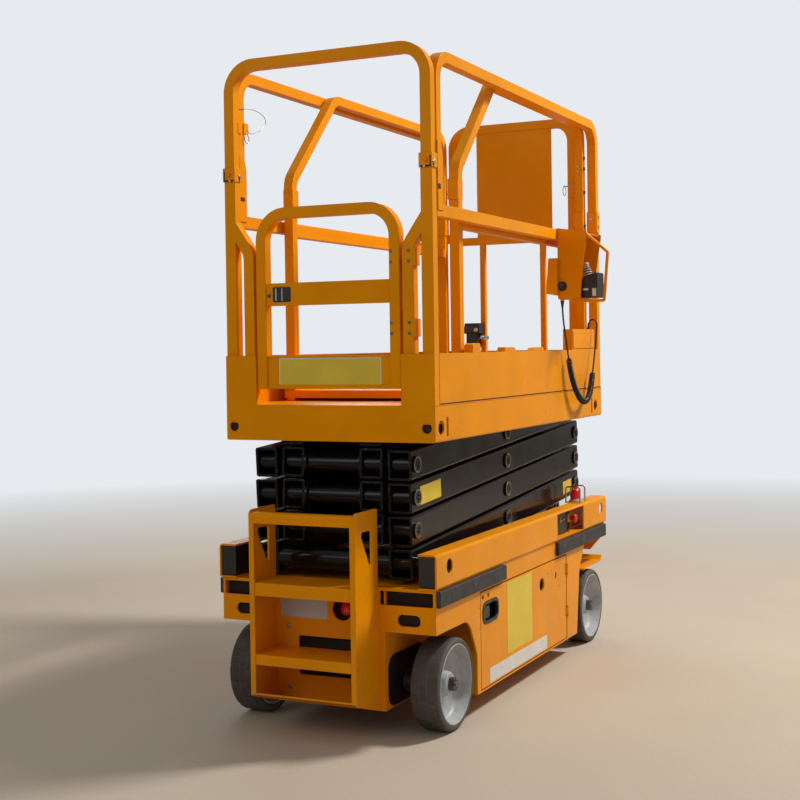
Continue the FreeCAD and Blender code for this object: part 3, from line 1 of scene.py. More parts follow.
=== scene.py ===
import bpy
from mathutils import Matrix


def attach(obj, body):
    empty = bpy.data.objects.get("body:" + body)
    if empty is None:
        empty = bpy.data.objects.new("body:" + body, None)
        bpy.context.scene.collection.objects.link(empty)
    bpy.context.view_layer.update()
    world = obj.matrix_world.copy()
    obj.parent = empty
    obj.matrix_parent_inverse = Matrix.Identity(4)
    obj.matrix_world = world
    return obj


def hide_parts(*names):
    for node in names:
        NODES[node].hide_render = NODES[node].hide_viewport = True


bl_info = {
    "name": "Slab Scissor Lift",
    "version": (1, 0, 0),
    "blender": (4, 5, 0),
    "location": "View3D > Sidebar > Scissor Lift",
    "description": "Paint, trim and lighting for a slab scissor lift on its packed frame",
    "category": "Object",
}

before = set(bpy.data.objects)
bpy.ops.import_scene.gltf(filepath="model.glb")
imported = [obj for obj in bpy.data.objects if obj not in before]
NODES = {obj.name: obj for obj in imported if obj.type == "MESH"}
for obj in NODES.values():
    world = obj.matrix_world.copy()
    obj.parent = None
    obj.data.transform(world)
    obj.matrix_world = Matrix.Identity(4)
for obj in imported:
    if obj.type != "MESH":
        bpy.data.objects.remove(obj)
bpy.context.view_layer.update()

import math

import bmesh
import bpy
from mathutils import Matrix, Vector, noise

MM = 0.001

# Faces that trim is fixed to, in millimetres: +X right, +Y to the steering end, +Z up
DOOR_X = 390.0
ARM_X = 287.0
OUTER_ARM_IN = 205.0
INNER_ARM_IN = 103.0
ARM_LENGTH = 1624.0
ARM_OVERHANG = 38.0
ARM_PITCH = 106.0
REAR_PIN = (-800.54, 548.0)
FRONT_PIN_Y = 820.0
REAR_PLATE_Y = -892.0
WHEEL_FACE = 386.0
HUB_DEPTH = 22.0
STRIP_FACE = (404.6, 452.0)
GATE_FACE_Y = -850.0
HINGE_Y = -856.0
HINGE_NUT_Z = (1286, 1320, 1514, 1548)
PANEL_X = 362.0
STOP_PLACE = (533, 538)
SOCKET_Y = -861.4
TOE_BOX = ((524, 806), (1227, 1299))
AXLE_Y = 725.0
AXLE_Z = 150.0
BEACON = (352.0, 628.0, 592.0)
BACKGROUND = (0.80, 0.83, 0.86)

# Route of the curly cable, as in the part's source
LEAD_OUT = [(397, 356, 1413), (397, 356, 1375), (399, 363, 1325), (402, 378, 1270), (403.1, 392.3, 1222),
            (405, 400, 1190)]
CURL = [(405, 400, 1190), (408, 412, 1140), (413, 436, 1084), (419, 478, 1034), (421, 535, 1008),
        (419, 592, 1016), (415, 640, 1042), (412, 672, 1082), (410, 697, 1126)]
LEAD_IN = [(410, 697, 1126), (408.3, 717.7, 1162.5), (407, 740, 1212), (407, 757, 1262), (408.5, 768, 1306),
           (408.5, 770, 1339), (390.2, 770, 1349.5), (372, 770, 1339), (372, 770, 1308)]


class LiftColours(bpy.types.PropertyGroup):
    """Colours of the machine's finishes."""

    paint: bpy.props.FloatVectorProperty(
        name="Paint", description="Orange-yellow machine paint", subtype="COLOR", size=3,
        default=(0.87, 0.31, 0.001), min=0.0, max=1.0)
    arm: bpy.props.FloatVectorProperty(
        name="Arm paint", description="Glossy black of the scissor arms", subtype="COLOR", size=3,
        default=(0.006, 0.006, 0.007), min=0.0, max=1.0)
    rim: bpy.props.FloatVectorProperty(
        name="Rim paint", description="Grey of the wheel rims", subtype="COLOR", size=3,
        default=(0.46, 0.48, 0.5), min=0.0, max=1.0)
    tyre: bpy.props.FloatVectorProperty(
        name="Tyre", description="Worn grey rubber of the solid tyres", subtype="COLOR", size=3,
        default=(0.06, 0.053, 0.047), min=0.0, max=1.0)
    label: bpy.props.FloatVectorProperty(
        name="Label", description="Bare yellow plates", subtype="COLOR", size=3,
        default=(0.74, 0.55, 0.03), min=0.0, max=1.0)


class LiftSizes(bpy.types.PropertyGroup):
    """Sizes of the trim."""

    cord: bpy.props.FloatProperty(
        name="Cord", description="Diameter of the curly cable's own cord", subtype="DISTANCE", unit="LENGTH",
        default=0.007, min=0.004, max=0.009)
    curl: bpy.props.FloatProperty(
        name="Curl", description="Outer diameter of the curls", subtype="DISTANCE", unit="LENGTH",
        default=0.025, min=0.018, max=0.03)
    curl_pitch: bpy.props.FloatProperty(
        name="Curl pitch", description="Distance from one curl to the next", subtype="DISTANCE", unit="LENGTH",
        default=0.0079, min=0.0072, max=0.02)
    bolt: bpy.props.FloatProperty(
        name="Bolt head", description="Width of a small bolt's head", subtype="DISTANCE", unit="LENGTH",
        default=0.013, min=0.006, max=0.03)
    plate: bpy.props.FloatProperty(
        name="Plate thickness", description="Thickness of the bare label plates", subtype="DISTANCE",
        unit="LENGTH", default=0.0008, min=0.0003, max=0.002)


def colours():
    return bpy.context.scene.lift_colours


def sizes():
    return bpy.context.scene.lift_sizes


# Materials

MATERIALS = {}


class Finish:
    """A principled material with a few node helpers, kept by name."""

    def __init__(self, name, colour, roughness, metallic=0.0):
        self.material = bpy.data.materials.new(name)
        self.material.use_nodes = True
        self.tree = self.material.node_tree
        self.shader = self.tree.nodes["Principled BSDF"]
        self.shader.inputs["Base Color"].default_value = (*colour, 1.0)
        self.shader.inputs["Roughness"].default_value = roughness
        self.shader.inputs["Metallic"].default_value = metallic
        self.colour = colour
        self.roughness = roughness
        MATERIALS[name] = self.material

    def node(self, kind, **values):
        made = self.tree.nodes.new(kind)
        for key, value in values.items():
            setattr(made, key, value)
        return made

    def join(self, source, target):
        self.tree.links.new(source, target)

    def position(self):
        """Object coordinates, which are the machine's own frame in metres."""
        return self.node("ShaderNodeTexCoord").outputs["Object"]

    def noise(self, scale, detail=4.0, stretch=None):
        """Noise factor at a scale in features per metre."""
        made = self.node("ShaderNodeTexNoise")
        made.inputs["Scale"].default_value = scale
        made.inputs["Detail"].default_value = detail
        place = self.position()
        if stretch:
            mapping = self.node("ShaderNodeMapping")
            mapping.inputs["Scale"].default_value = stretch
            self.join(place, mapping.inputs["Vector"])
            place = mapping.outputs["Vector"]
        self.join(place, made.inputs["Vector"])
        return made.outputs["Fac"]

    def ramp(self, factor, low, high, start=0.0, end=1.0):
        """Map a factor's range low..high to start..end."""
        made = self.node("ShaderNodeMapRange")
        for key, value in (("From Min", low), ("From Max", high), ("To Min", start), ("To Max", end)):
            made.inputs[key].default_value = value
        self.join(factor, made.inputs["Value"])
        return made.outputs["Result"]

    def times(self, first, second):
        made = self.node("ShaderNodeMath", operation="MULTIPLY")
        for socket, value in zip(made.inputs, (first, second)):
            if isinstance(value, float):
                socket.default_value = value
            else:
                self.join(value, socket)
        return made.outputs["Value"]

    def sum(self, first, second):
        made = self.node("ShaderNodeMath", operation="ADD")
        for socket, value in zip(made.inputs, (first, second)):
            if isinstance(value, float):
                socket.default_value = value
            else:
                self.join(value, socket)
        return made.outputs["Value"]

    def absolute(self, value):
        made = self.node("ShaderNodeMath", operation="ABSOLUTE")
        self.join(value, made.inputs[0])
        return made.outputs["Value"]

    def length(self, first, second):
        """Length of the two coordinates together."""
        pair = self.node("ShaderNodeCombineXYZ")
        self.join(first, pair.inputs["X"])
        self.join(second, pair.inputs["Y"])
        made = self.node("ShaderNodeVectorMath", operation="LENGTH")
        self.join(pair.outputs["Vector"], made.inputs[0])
        return made.outputs["Value"]

    def mixed(self, factor, first, second):
        """Colour between two colours or sockets."""
        made = self.node("ShaderNodeMix", data_type="RGBA")
        self.join(factor, made.inputs["Factor"])
        for socket, value in ((made.inputs[6], first), (made.inputs[7], second)):
            if isinstance(value, tuple):
                socket.default_value = (*value, 1.0)
            else:
                self.join(value, socket)
        return made.outputs[2]

    def height(self, low, high):
        """1 at the lower height, 0 at the upper one, in metres above the floor."""
        split = self.node("ShaderNodeSeparateXYZ")
        self.join(self.position(), split.inputs["Vector"])
        return self.ramp(split.outputs["Z"], low, high, 1.0, 0.0)

    def edges(self, radius):
        """1 along sharp edges, from how far the rounded normal leans."""
        bevel = self.node("ShaderNodeBevel", samples=4)
        bevel.inputs["Radius"].default_value = radius
        plain = self.node("ShaderNodeNewGeometry")
        dot = self.node("ShaderNodeVectorMath", operation="DOT_PRODUCT")
        self.join(bevel.outputs["Normal"], dot.inputs[0])
        self.join(plain.outputs["Normal"], dot.inputs[1])
        return self.ramp(dot.outputs["Value"], 0.98, 0.84, 0.0, 1.0)

    def rounded(self, radius, factor=None, strength=0.1, distance=0.001):
        """Rounded edges in the normal, with a bump over them."""
        bevel = self.node("ShaderNodeBevel", samples=4)
        bevel.inputs["Radius"].default_value = radius
        normal = bevel.outputs["Normal"]
        if factor is not None:
            bump = self.node("ShaderNodeBump")
            bump.inputs["Strength"].default_value = strength
            bump.inputs["Distance"].default_value = distance
            self.join(factor, bump.inputs["Height"])
            self.join(normal, bump.inputs["Normal"])
            normal = bump.outputs["Normal"]
        self.join(normal, self.shader.inputs["Normal"])

    def paint_over(self, colour):
        self.join(colour, self.shader.inputs["Base Color"])

    def rough(self, factor):
        self.join(factor, self.shader.inputs["Roughness"])


def shade(colour, amount):
    return tuple(min(1.0, channel * amount) for channel in colour)


def machine_paint(name, colour, dirt_top, chips=0.55):
    """Sprayed paint with orange peel, faint mottling, dust and chipped edges."""
    finish = Finish(name, colour, 0.33)
    finish.shader.inputs["Specular IOR Level"].default_value = 0.22
    finish.shader.inputs["Specular Tint"].default_value = (1.0, 0.55, 0.1, 1.0)
    finish.shader.inputs["Coat Weight"].default_value = 0.03
    finish.shader.inputs["Coat Roughness"].default_value = 0.12
    mottle = finish.ramp(finish.noise(5.0, 5.0), 0.3, 0.7)
    body = finish.mixed(mottle, shade(colour, 0.93), shade(colour, 1.05))
    dust_noise = finish.ramp(finish.noise(14.0, 8.0), 0.42, 0.75)
    dust = finish.times(finish.times(dust_noise, finish.height(0.06, dirt_top)), 0.2)
    dusty = finish.mixed(dust, body, (0.36, 0.27, 0.16))
    chipped = finish.ramp(finish.noise(70.0, 6.0), 0.56, 0.64)
    wear = finish.times(finish.times(finish.edges(0.003), chipped), chips)
    finish.paint_over(finish.mixed(wear, dusty, (0.10, 0.075, 0.055)))
    finish.rough(finish.ramp(finish.noise(9.0, 6.0), 0.3, 0.75, 0.26, 0.44))
    finish.rounded(0.003, finish.noise(420.0, 2.0), 0.035, 0.0006)
    return finish.material


def arm_paint(name, colour):
    """Glossy black with dust on it and rubbed edges."""
    finish = Finish(name, colour, 0.13)
    finish.shader.inputs["Specular IOR Level"].default_value = 0.22
    finish.shader.inputs["Coat Weight"].default_value = 0.1
    finish.shader.inputs["Coat Roughness"].default_value = 0.05
    streaks = finish.ramp(finish.noise(6.0, 8.0, (0.5, 0.35, 6.0)), 0.5, 0.85)
    grime = finish.mixed(finish.times(streaks, 0.2), colour, (0.05, 0.044, 0.038))
    chipped = finish.ramp(finish.noise(60.0, 5.0), 0.55, 0.66)
    wear = finish.times(finish.times(finish.edges(0.0035), chipped), 0.6)
    finish.paint_over(finish.mixed(wear, grime, (0.20, 0.16, 0.12)))
    finish.rough(finish.ramp(finish.noise(11.0, 6.0), 0.35, 0.8, 0.1, 0.3))
    finish.rounded(0.003, finish.noise(300.0, 2.0), 0.03, 0.0006)
    return finish.material


def plain_finish(name, colour, roughness, metallic=0.0, grain=260.0, relief=0.08, spread=0.12, radius=0.0015):
    """Moulded or machined surface with a fine grain and slight change of tone."""
    finish = Finish(name, colour, roughness, metallic)
    tone = finish.ramp(finish.noise(18.0, 5.0), 0.3, 0.7)
    finish.paint_over(finish.mixed(tone, shade(colour, 1 - spread), shade(colour, 1 + spread)))
    finish.rough(finish.ramp(finish.noise(25.0, 4.0), 0.3, 0.7, roughness - 0.07, roughness + 0.08))
    finish.rounded(radius, finish.noise(grain, 3.0), relief, 0.0005)
    return finish.material


def tyre_rubber(name, colour):
    """Solid rubber with a pattern of fine cuts round the tread, dusty on its sides."""
    finish = Finish(name, colour, 0.78)
    split = finish.node("ShaderNodeSeparateXYZ")
    finish.join(finish.position(), split.inputs["Vector"])
    ahead = finish.sum(finish.absolute(split.outputs["Y"]), -AXLE_Y * MM)
    above = finish.sum(split.outputs["Z"], -AXLE_Z * MM)
    angle = finish.node("ShaderNodeMath", operation="ARCTAN2")
    finish.join(above, angle.inputs[0])
    finish.join(ahead, angle.inputs[1])
    place = finish.node("ShaderNodeCombineXYZ")
    finish.join(finish.times(angle.outputs["Value"], 0.15), place.inputs["X"])
    finish.join(finish.absolute(split.outputs["X"]), place.inputs["Y"])
    bricks = finish.node("ShaderNodeTexBrick", offset=0.5)
    for key, value in (("Scale", 1.0), ("Mortar Size", 0.0011), ("Mortar Smooth", 0.6), ("Brick Width", 0.0589),
                       ("Row Height", 0.0265)):
        bricks.inputs[key].default_value = value
    for key, value in (("Color1", 1.0), ("Color2", 1.0), ("Mortar", 0.0)):
        bricks.inputs[key].default_value = (value, value, value, 1.0)
    finish.join(place.outputs["Vector"], bricks.inputs["Vector"])
    far = finish.length(ahead, above)
    tread = finish.times(finish.ramp(far, 0.1455, 0.1475), 1.0)
    cuts = finish.times(finish.ramp(bricks.outputs["Fac"], 0.0, 1.0), tread)
    patches = finish.ramp(finish.noise(9.0, 8.0), 0.35, 0.7)
    base = finish.mixed(patches, shade(colour, 0.75), shade(colour, 1.3))
    scuffs = finish.ramp(finish.noise(60.0, 8.0, (0.6, 1.0, 1.0)), 0.52, 0.72)
    dusty = finish.mixed(finish.times(scuffs, 0.35), base, (0.14, 0.125, 0.105))
    side = finish.times(finish.ramp(far, 0.148, 0.1455),
                        finish.ramp(finish.noise(30.0, 7.0), 0.25, 0.6, 0.55, 1.0))
    pale = finish.mixed(side, dusty, (0.12, 0.105, 0.09))
    finish.paint_over(finish.mixed(finish.times(cuts, 0.5), pale, (0.16, 0.14, 0.115)))
    finish.rough(finish.ramp(finish.noise(30.0, 5.0), 0.3, 0.7, 0.66, 0.9))
    relief = finish.sum(finish.times(finish.noise(130.0, 8.0), 0.25), finish.times(cuts, -1.0))
    finish.rounded(0.003, relief, 0.6, 0.0016)
    return finish.material


def rim_paint(name, colour):
    """Grey wheel paint with patches of dust and rubbed lips."""
    finish = Finish(name, colour, 0.42)
    mottle = finish.ramp(finish.noise(12.0, 7.0), 0.35, 0.7)
    body = finish.mixed(mottle, shade(colour, 0.86), shade(colour, 1.08))
    dirt = finish.times(finish.ramp(finish.noise(35.0, 7.0), 0.5, 0.7), 0.4)
    dusty = finish.mixed(dirt, body, (0.25, 0.21, 0.16))
    wear = finish.times(finish.times(finish.edges(0.003), finish.ramp(finish.noise(80.0), 0.5, 0.6)), 0.6)
    finish.paint_over(finish.mixed(wear, dusty, (0.16, 0.14, 0.12)))
    finish.rounded(0.0025, finish.noise(200.0, 3.0), 0.05, 0.0006)
    return finish.material


def lamp_lens(name, colour):
    """Red moulded lens with a deep gloss and a faint painted glow."""
    finish = Finish(name, colour, 0.16)
    finish.shader.inputs["Coat Weight"].default_value = 0.6
    # Painted glow: a weak emission in the lens's own red
    finish.shader.inputs["Emission Color"].default_value = (*shade(colour, 0.9), 1.0)
    finish.shader.inputs["Emission Strength"].default_value = 0.12
    ribs = finish.node("ShaderNodeTexWave", wave_type="BANDS", bands_direction="Z")
    ribs.inputs["Scale"].default_value = 60.0
    finish.join(finish.position(), ribs.inputs["Vector"])
    tone = finish.ramp(finish.noise(60.0), 0.3, 0.7)
    finish.paint_over(finish.mixed(tone, shade(colour, 0.8), shade(colour, 1.15)))
    finish.rounded(0.001, ribs.outputs["Fac"], 0.25, 0.0006)
    return finish.material


def label_film(name, colour, roughness=0.36):
    """Bare film with slightly bleached patches."""
    finish = Finish(name, colour, roughness)
    tone = finish.ramp(finish.noise(10.0, 6.0), 0.3, 0.75)
    finish.paint_over(finish.mixed(tone, shade(colour, 0.92), shade(colour, 1.07)))
    finish.rounded(0.0005, finish.noise(90.0, 3.0), 0.04, 0.0004)
    return finish.material


def concrete(name):
    """Pale concrete that keeps the shadow and fades into the background away from the machine."""
    finish = Finish(name, (0.54, 0.46, 0.37), 0.8)
    patches = finish.ramp(finish.noise(0.9, 6.0), 0.3, 0.7)
    grain = finish.ramp(finish.noise(60.0, 6.0), 0.3, 0.7)
    base = finish.mixed(patches, (0.51, 0.435, 0.35), (0.57, 0.485, 0.39))
    finish.paint_over(finish.mixed(finish.times(grain, 0.25), base, (0.44, 0.375, 0.3)))
    bump = finish.node("ShaderNodeBump")
    bump.inputs["Strength"].default_value = 0.08
    bump.inputs["Distance"].default_value = 0.002
    finish.join(finish.noise(90.0, 5.0), bump.inputs["Height"])
    finish.join(bump.outputs["Normal"], finish.shader.inputs["Normal"])
    split = finish.node("ShaderNodeSeparateXYZ")
    finish.join(finish.position(), split.inputs["Vector"])
    far = finish.ramp(finish.length(split.outputs["X"], split.outputs["Y"]), 2.8, 8.0)
    path = finish.node("ShaderNodeLightPath")
    glow = finish.node("ShaderNodeEmission")
    glow.inputs["Color"].default_value = (*BACKGROUND, 1.0)
    mix = finish.node("ShaderNodeMixShader")
    finish.join(finish.times(far, path.outputs["Is Camera Ray"]), mix.inputs["Fac"])
    finish.join(finish.shader.outputs["BSDF"], mix.inputs[1])
    finish.join(glow.outputs["Emission"], mix.inputs[2])
    finish.join(mix.outputs["Shader"], finish.tree.nodes["Material Output"].inputs["Surface"])
    return finish.material


def make_materials():
    tint = colours()
    paint, arm = tuple(tint.paint), tuple(tint.arm)
    machine_paint("platform_paint", paint, 0.5, 0.2)
    machine_paint("chassis_paint", paint, 0.6, 0.35)
    arm_paint("arm_black", arm)
    rim_paint("rim_grey", tuple(tint.rim))
    tyre_rubber("tyre_rubber", tuple(tint.tyre))
    plain_finish("strip_rubber", (0.035, 0.034, 0.034), 0.62, grain=180.0, relief=0.2, spread=0.25, radius=0.003)
    plain_finish("black_plastic", (0.016, 0.016, 0.017), 0.38, grain=500.0, relief=0.15, spread=0.2)
    plain_finish("cord_jacket", (0.013, 0.013, 0.014), 0.42, grain=700.0, relief=0.08, spread=0.2, radius=0.0005)
    plain_finish("dark_steel", (0.09, 0.09, 0.092), 0.45, 0.6, grain=160.0, relief=0.15, spread=0.2)
    plain_finish("bright_steel", (0.56, 0.55, 0.53), 0.3, 1.0, grain=240.0, relief=0.06)
    plain_finish("zinc", (0.5, 0.47, 0.4), 0.38, 0.9, grain=240.0, relief=0.08, spread=0.2)
    plain_finish("unit_grey", (0.16, 0.165, 0.17), 0.5, grain=200.0, relief=0.12)
    # Painted shade: shaded-orange dark for the shade in seams, gaps, slots, a notch and small holes
    plain_finish("painted_shade_gaps", (0.03, 0.007, 0.001), 0.65, grain=200.0, relief=0.1, spread=0.3, radius=0.0004)
    # Painted shade: near-black brown for the shade inside deep hollows and behind openings
    plain_finish("painted_shade_hollow", (0.010, 0.003, 0.001), 0.8, grain=60.0, relief=0.1, spread=0.4, radius=0.0004)
    plain_finish("worn_steel", (0.2, 0.19, 0.175), 0.38, 0.85, grain=200.0, relief=0.1, spread=0.25)
    plain_finish("pale_plastic", (0.5, 0.48, 0.44), 0.4, grain=300.0, relief=0.05)
    plain_finish("boot_rubber", (0.03, 0.03, 0.032), 0.28, grain=300.0, relief=0.04, spread=0.2)
    lamp_lens("red_lens", (0.62, 0.008, 0.01))
    plain_finish("stop_red", (0.6, 0.012, 0.012), 0.3, grain=300.0, relief=0.04)
    label_film("label_yellow", tuple(tint.label))
    label_film("label_white", (0.72, 0.72, 0.70))
    label_film("label_silver", (0.52, 0.53, 0.52), 0.3)
    concrete("floor_concrete")


NODE_FINISH = {
    "chassis_paint": ("channel_rails", "base_frame", "rear_ladder", "door_left", "door_right", "front_axle"),
    "platform_paint": ("platform_frame", "rear_rail", "side_rails", "entry_gate", "extension_deck",
                       "extension_rails", "control_carrier"),
    "arm_black": tuple("%s_arms_%d" % (kind, k) for kind in ("inner", "outer") for k in range(1, 5)),
    "strip_rubber": ("rubber_bumpers", "upper_sliders"),
    "black_plastic": ("outlet_box", "control_box", "battery_block", "lower_sliders", "ground_controls"),
    "unit_grey": ("hydraulic_unit",),
    "dark_steel": ("rear_axle", "knuckle_left", "knuckle_right", "lift_barrel"),
    "bright_steel": ("lift_rod",),
    "red_lens": ("warning_lamps",),
    "rim_grey": tuple("rim_%s_%s" % (end, side) for end in ("rear", "front") for side in ("left", "right")),
    "tyre_rubber": tuple("tyre_%s_%s" % (end, side) for end in ("rear", "front") for side in ("left", "right")),
    "cord_jacket": ("cable_leads", "cable_curl"),
}


def use_material(piece, name):
    piece.data.materials.clear()
    piece.data.materials.append(MATERIALS[name])


# Mesh helpers: every size is in millimetres in the machine's frame

def finish_piece(name, mesh, material, body, smooth=30.0, bevel=0.0):
    """Turn a bmesh into a piece that rides on a body."""
    data = bpy.data.meshes.new(name)
    mesh.to_mesh(data)
    mesh.free()
    piece = bpy.data.objects.new(name, data)
    bpy.context.scene.collection.objects.link(piece)
    use_material(piece, material)
    for polygon in data.polygons:
        polygon.use_smooth = True
    data.set_sharp_from_angle(angle=math.radians(smooth))
    if bevel:
        rounding = piece.modifiers.new("edge", "BEVEL")
        rounding.width = bevel * MM
        rounding.segments = 2
        rounding.limit_method = "ANGLE"
        rounding.angle_limit = math.radians(35)
        rounding.harden_normals = False
    if body:
        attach(piece, body)
    return piece


def add_box(mesh, x, y, z):
    """Add a box over three ranges."""
    corners = [mesh.verts.new((cx * MM, cy * MM, cz * MM)) for cx in x for cy in y for cz in z]
    for ring in ((0, 1, 3, 2), (4, 6, 7, 5), (0, 4, 5, 1), (2, 3, 7, 6), (0, 2, 6, 4), (1, 5, 7, 3)):
        mesh.faces.new([corners[i] for i in ring])


def add_turned(mesh, centre, axis, profile, steps=24):
    """Add a body turned about an axis; profile is (distance along the axis, radius)."""
    turn = Vector(axis).normalized().to_track_quat("Z", "Y").to_matrix()
    rings = []
    for along, radius in profile:
        ring = []
        for k in range(steps):
            angle = 2 * math.pi * (k + 0.5) / steps
            local = Vector((radius * math.cos(angle), radius * math.sin(angle), along))
            ring.append(mesh.verts.new((Vector(centre) + turn @ local) * MM))
        rings.append(ring)
    for low, high in zip(rings, rings[1:]):
        for k in range(steps):
            mesh.faces.new((low[k], low[(k + 1) % steps], high[(k + 1) % steps], high[k]))
    mesh.faces.new(rings[0][::-1])
    mesh.faces.new(rings[-1])


def join_loops(mesh, loops):
    """Join loops of points, each to the next and the last to the first."""
    for first, second in zip(loops, loops[1:] + loops[:1]):
        for i in range(len(first)):
            j = (i + 1) % len(first)
            mesh.faces.new((first[i], first[j], second[j], second[i]))


def add_slab(mesh, outline, plane, low, high):
    """Add a flat piece with an outline in a plane (two coordinates) between two levels."""
    def place(a, b, c):
        if plane == "yz":
            return (c * MM, a * MM, b * MM)
        if plane == "xz":
            return (a * MM, c * MM, b * MM)
        return (a * MM, b * MM, c * MM)

    bottom = [mesh.verts.new(place(a, b, low)) for a, b in outline]
    top = [mesh.verts.new(place(a, b, high)) for a, b in outline]
    mesh.faces.new(bottom)
    mesh.faces.new(top)
    count = len(outline)
    for i in range(count):
        j = (i + 1) % count
        mesh.faces.new((bottom[i], bottom[j], top[j], top[i]))


def add_side_slab(mesh, outline, sign, inner, outer):
    """Add a flat piece on the right (1) or left (-1) side, between two distances from the middle."""
    low, high = sorted((sign * inner, sign * outer))
    add_slab(mesh, outline, "yz", low, high)


def clean(mesh):
    bmesh.ops.recalc_face_normals(mesh, faces=mesh.faces)
    return mesh


def rounded_outline(a, b, radius, steps=5):
    """Rectangle's outline over two ranges with round corners."""
    points = []
    for ca, cb, start in ((a[1] - radius, b[1] - radius, 0), (a[0] + radius, b[1] - radius, 90),
                          (a[0] + radius, b[0] + radius, 180), (a[1] - radius, b[0] + radius, 270)):
        for k in range(steps + 1):
            angle = math.radians(start + 90 * k / steps)
            points.append((ca + radius * math.cos(angle), cb + radius * math.sin(angle)))
    return points


def add_bolt(mesh, centre, axis, size=None, height=None):
    """Add a hexagon head with its washer, standing on a face."""
    width = size or sizes().bolt / MM
    tall = height or width * 0.42
    add_turned(mesh, centre, axis, [(-0.5, width * 0.72), (1.0, width * 0.72), (1.2, width * 0.66)], 20)
    add_turned(mesh, centre, axis, [(1.0, width * 0.56), (tall, width * 0.56), (tall + 1.0, width * 0.46)], 6)


def bare_plate(name, a, b, plane, face, outward, material, body, radius=4.0):
    """A bare label: a thin plate with round corners on a face."""
    mesh = bmesh.new()
    thick = sizes().plate / MM
    low, high = sorted((face, face + outward * thick))
    add_slab(mesh, rounded_outline(a, b, radius), plane, low, high)
    return finish_piece(name, clean(mesh), material, body)


def bent(points, radius, steps=6):
    """Polyline with its corners rounded."""
    line = [Vector(p) for p in points]
    out = [line[0]]
    for before, here, after in zip(line, line[1:], line[2:]):
        a, b = (before - here).normalized(), (after - here).normalized()
        reach = radius / math.tan(a.angle(b) / 2)
        start, end = here + a * reach, here + b * reach
        for k in range(steps + 1):
            t = k / steps
            out.append(start.lerp(here, t).lerp(here.lerp(end, t), t))
    out.append(line[-1])
    return out


def smoothed(points, steps=5):
    """Points of a smooth line through the given points."""
    line = [Vector(p) for p in points]
    line = [line[0] * 2 - line[1], *line, line[-1] * 2 - line[-2]]
    out = []
    for a, b, c, d in zip(line, line[1:], line[2:], line[3:]):
        for k in range(steps):
            t = k / steps
            out.append(0.5 * (2 * b + (c - a) * t + (2 * a - 5 * b + 4 * c - d) * t * t
                              + (3 * b - a - 3 * c + d) * t ** 3))
    out.append(line[-2])
    return out


def add_wire(mesh, points, radius, steps=8, closed=False):
    """Add a round wire along points."""
    line = [Vector(p) for p in points]
    count, rings, side = len(line), [], None
    for i, centre in enumerate(line):
        before = line[i - 1] if i or closed else centre
        after = line[(i + 1) % count] if i + 1 < count or closed else centre
        ahead = (after - before).normalized()
        side = ahead.orthogonal() if side is None else side
        side = (side - ahead * side.dot(ahead)).normalized()
        across = ahead.cross(side)
        rings.append([mesh.verts.new((centre + (side * math.cos(2 * math.pi * k / steps)
                                                + across * math.sin(2 * math.pi * k / steps)) * radius) * MM)
                      for k in range(steps)])
    pairs = list(zip(rings, rings[1:])) + ([(rings[-1], rings[0])] if closed else [])
    for low, high in pairs:
        for k in range(steps):
            j = (k + 1) % steps
            mesh.faces.new((low[k], low[j], high[j], high[k]))
    if not closed:
        mesh.faces.new(rings[0][::-1])
        mesh.faces.new(rings[-1])


def circle(centre, plane, radius, steps=24):
    """Points of a circle in a plane."""
    out = []
    for k in range(steps):
        a, b = radius * math.cos(2 * math.pi * k / steps), radius * math.sin(2 * math.pi * k / steps)
        shift = (0, a, b) if plane == "yz" else (a, 0, b)
        out.append(Vector(centre) + Vector(shift))
    return out


# Cable

def along_spline(points):
    """Points of the smooth line that a NURBS spline through a route gives, in metres."""
    curve = nurbs("route_line", points)
    holder = bpy.data.objects.new("route_line", curve)
    bpy.context.scene.collection.objects.link(holder)
    bpy.context.view_layer.update()
    depsgraph = bpy.context.evaluated_depsgraph_get()
    line = bpy.data.meshes.new_from_object(holder.evaluated_get(depsgraph))
    path = [v.co.copy() for v in line.vertices]
    bpy.data.objects.remove(holder)
    bpy.data.meshes.remove(line)
    bpy.data.curves.remove(curve)
    return path


def nurbs(name, points):
    curve = bpy.data.curves.new(name, "CURVE")
    curve.dimensions = "3D"
    curve.resolution_u = 12
    spline = curve.splines.new("NURBS")
    spline.points.add(len(points) - 1)
    for target, point in zip(spline.points, points):
        target.co = (*point, 1.0)
    spline.order_u = 3
    spline.use_endpoint_u = True
    return curve


def evenly(path, step):
    """Points at equal steps along a line."""
    lengths = [0.0]
    for a, b in zip(path, path[1:]):
        lengths.append(lengths[-1] + (b - a).length)
    total = lengths[-1]
    count = max(2, round(total / step))
    out, i = [], 0
    for k in range(count + 1):
        goal = total * k / count
        while i < len(path) - 2 and lengths[i + 1] < goal:
            i += 1
        span = lengths[i + 1] - lengths[i]
        share = (goal - lengths[i]) / span if span else 0.0
        out.append(path[i].lerp(path[i + 1], min(1.0, share)))
    return out, total


def curled(path, radius, pitch, turn_points=14):
    """Helix about a line, its radius growing from nothing over the first and last turn."""
    line = evenly(path, pitch / turn_points)[0]
    side = Vector((1, 0, 0))
    points = []
    for k, centre in enumerate(line):
        ahead = line[min(k + 1, len(line) - 1)] - line[max(k - 1, 0)]
        ahead.normalize()
        side = (side - ahead * side.dot(ahead)).normalized()
        across = ahead.cross(side)
        turn = 2 * math.pi * k / turn_points
        grow = min(1.0, k / turn_points, (len(line) - 1 - k) / turn_points)
        reach = radius * grow
        points.append(centre + side * reach * math.cos(turn) + across * reach * math.sin(turn))
    return points


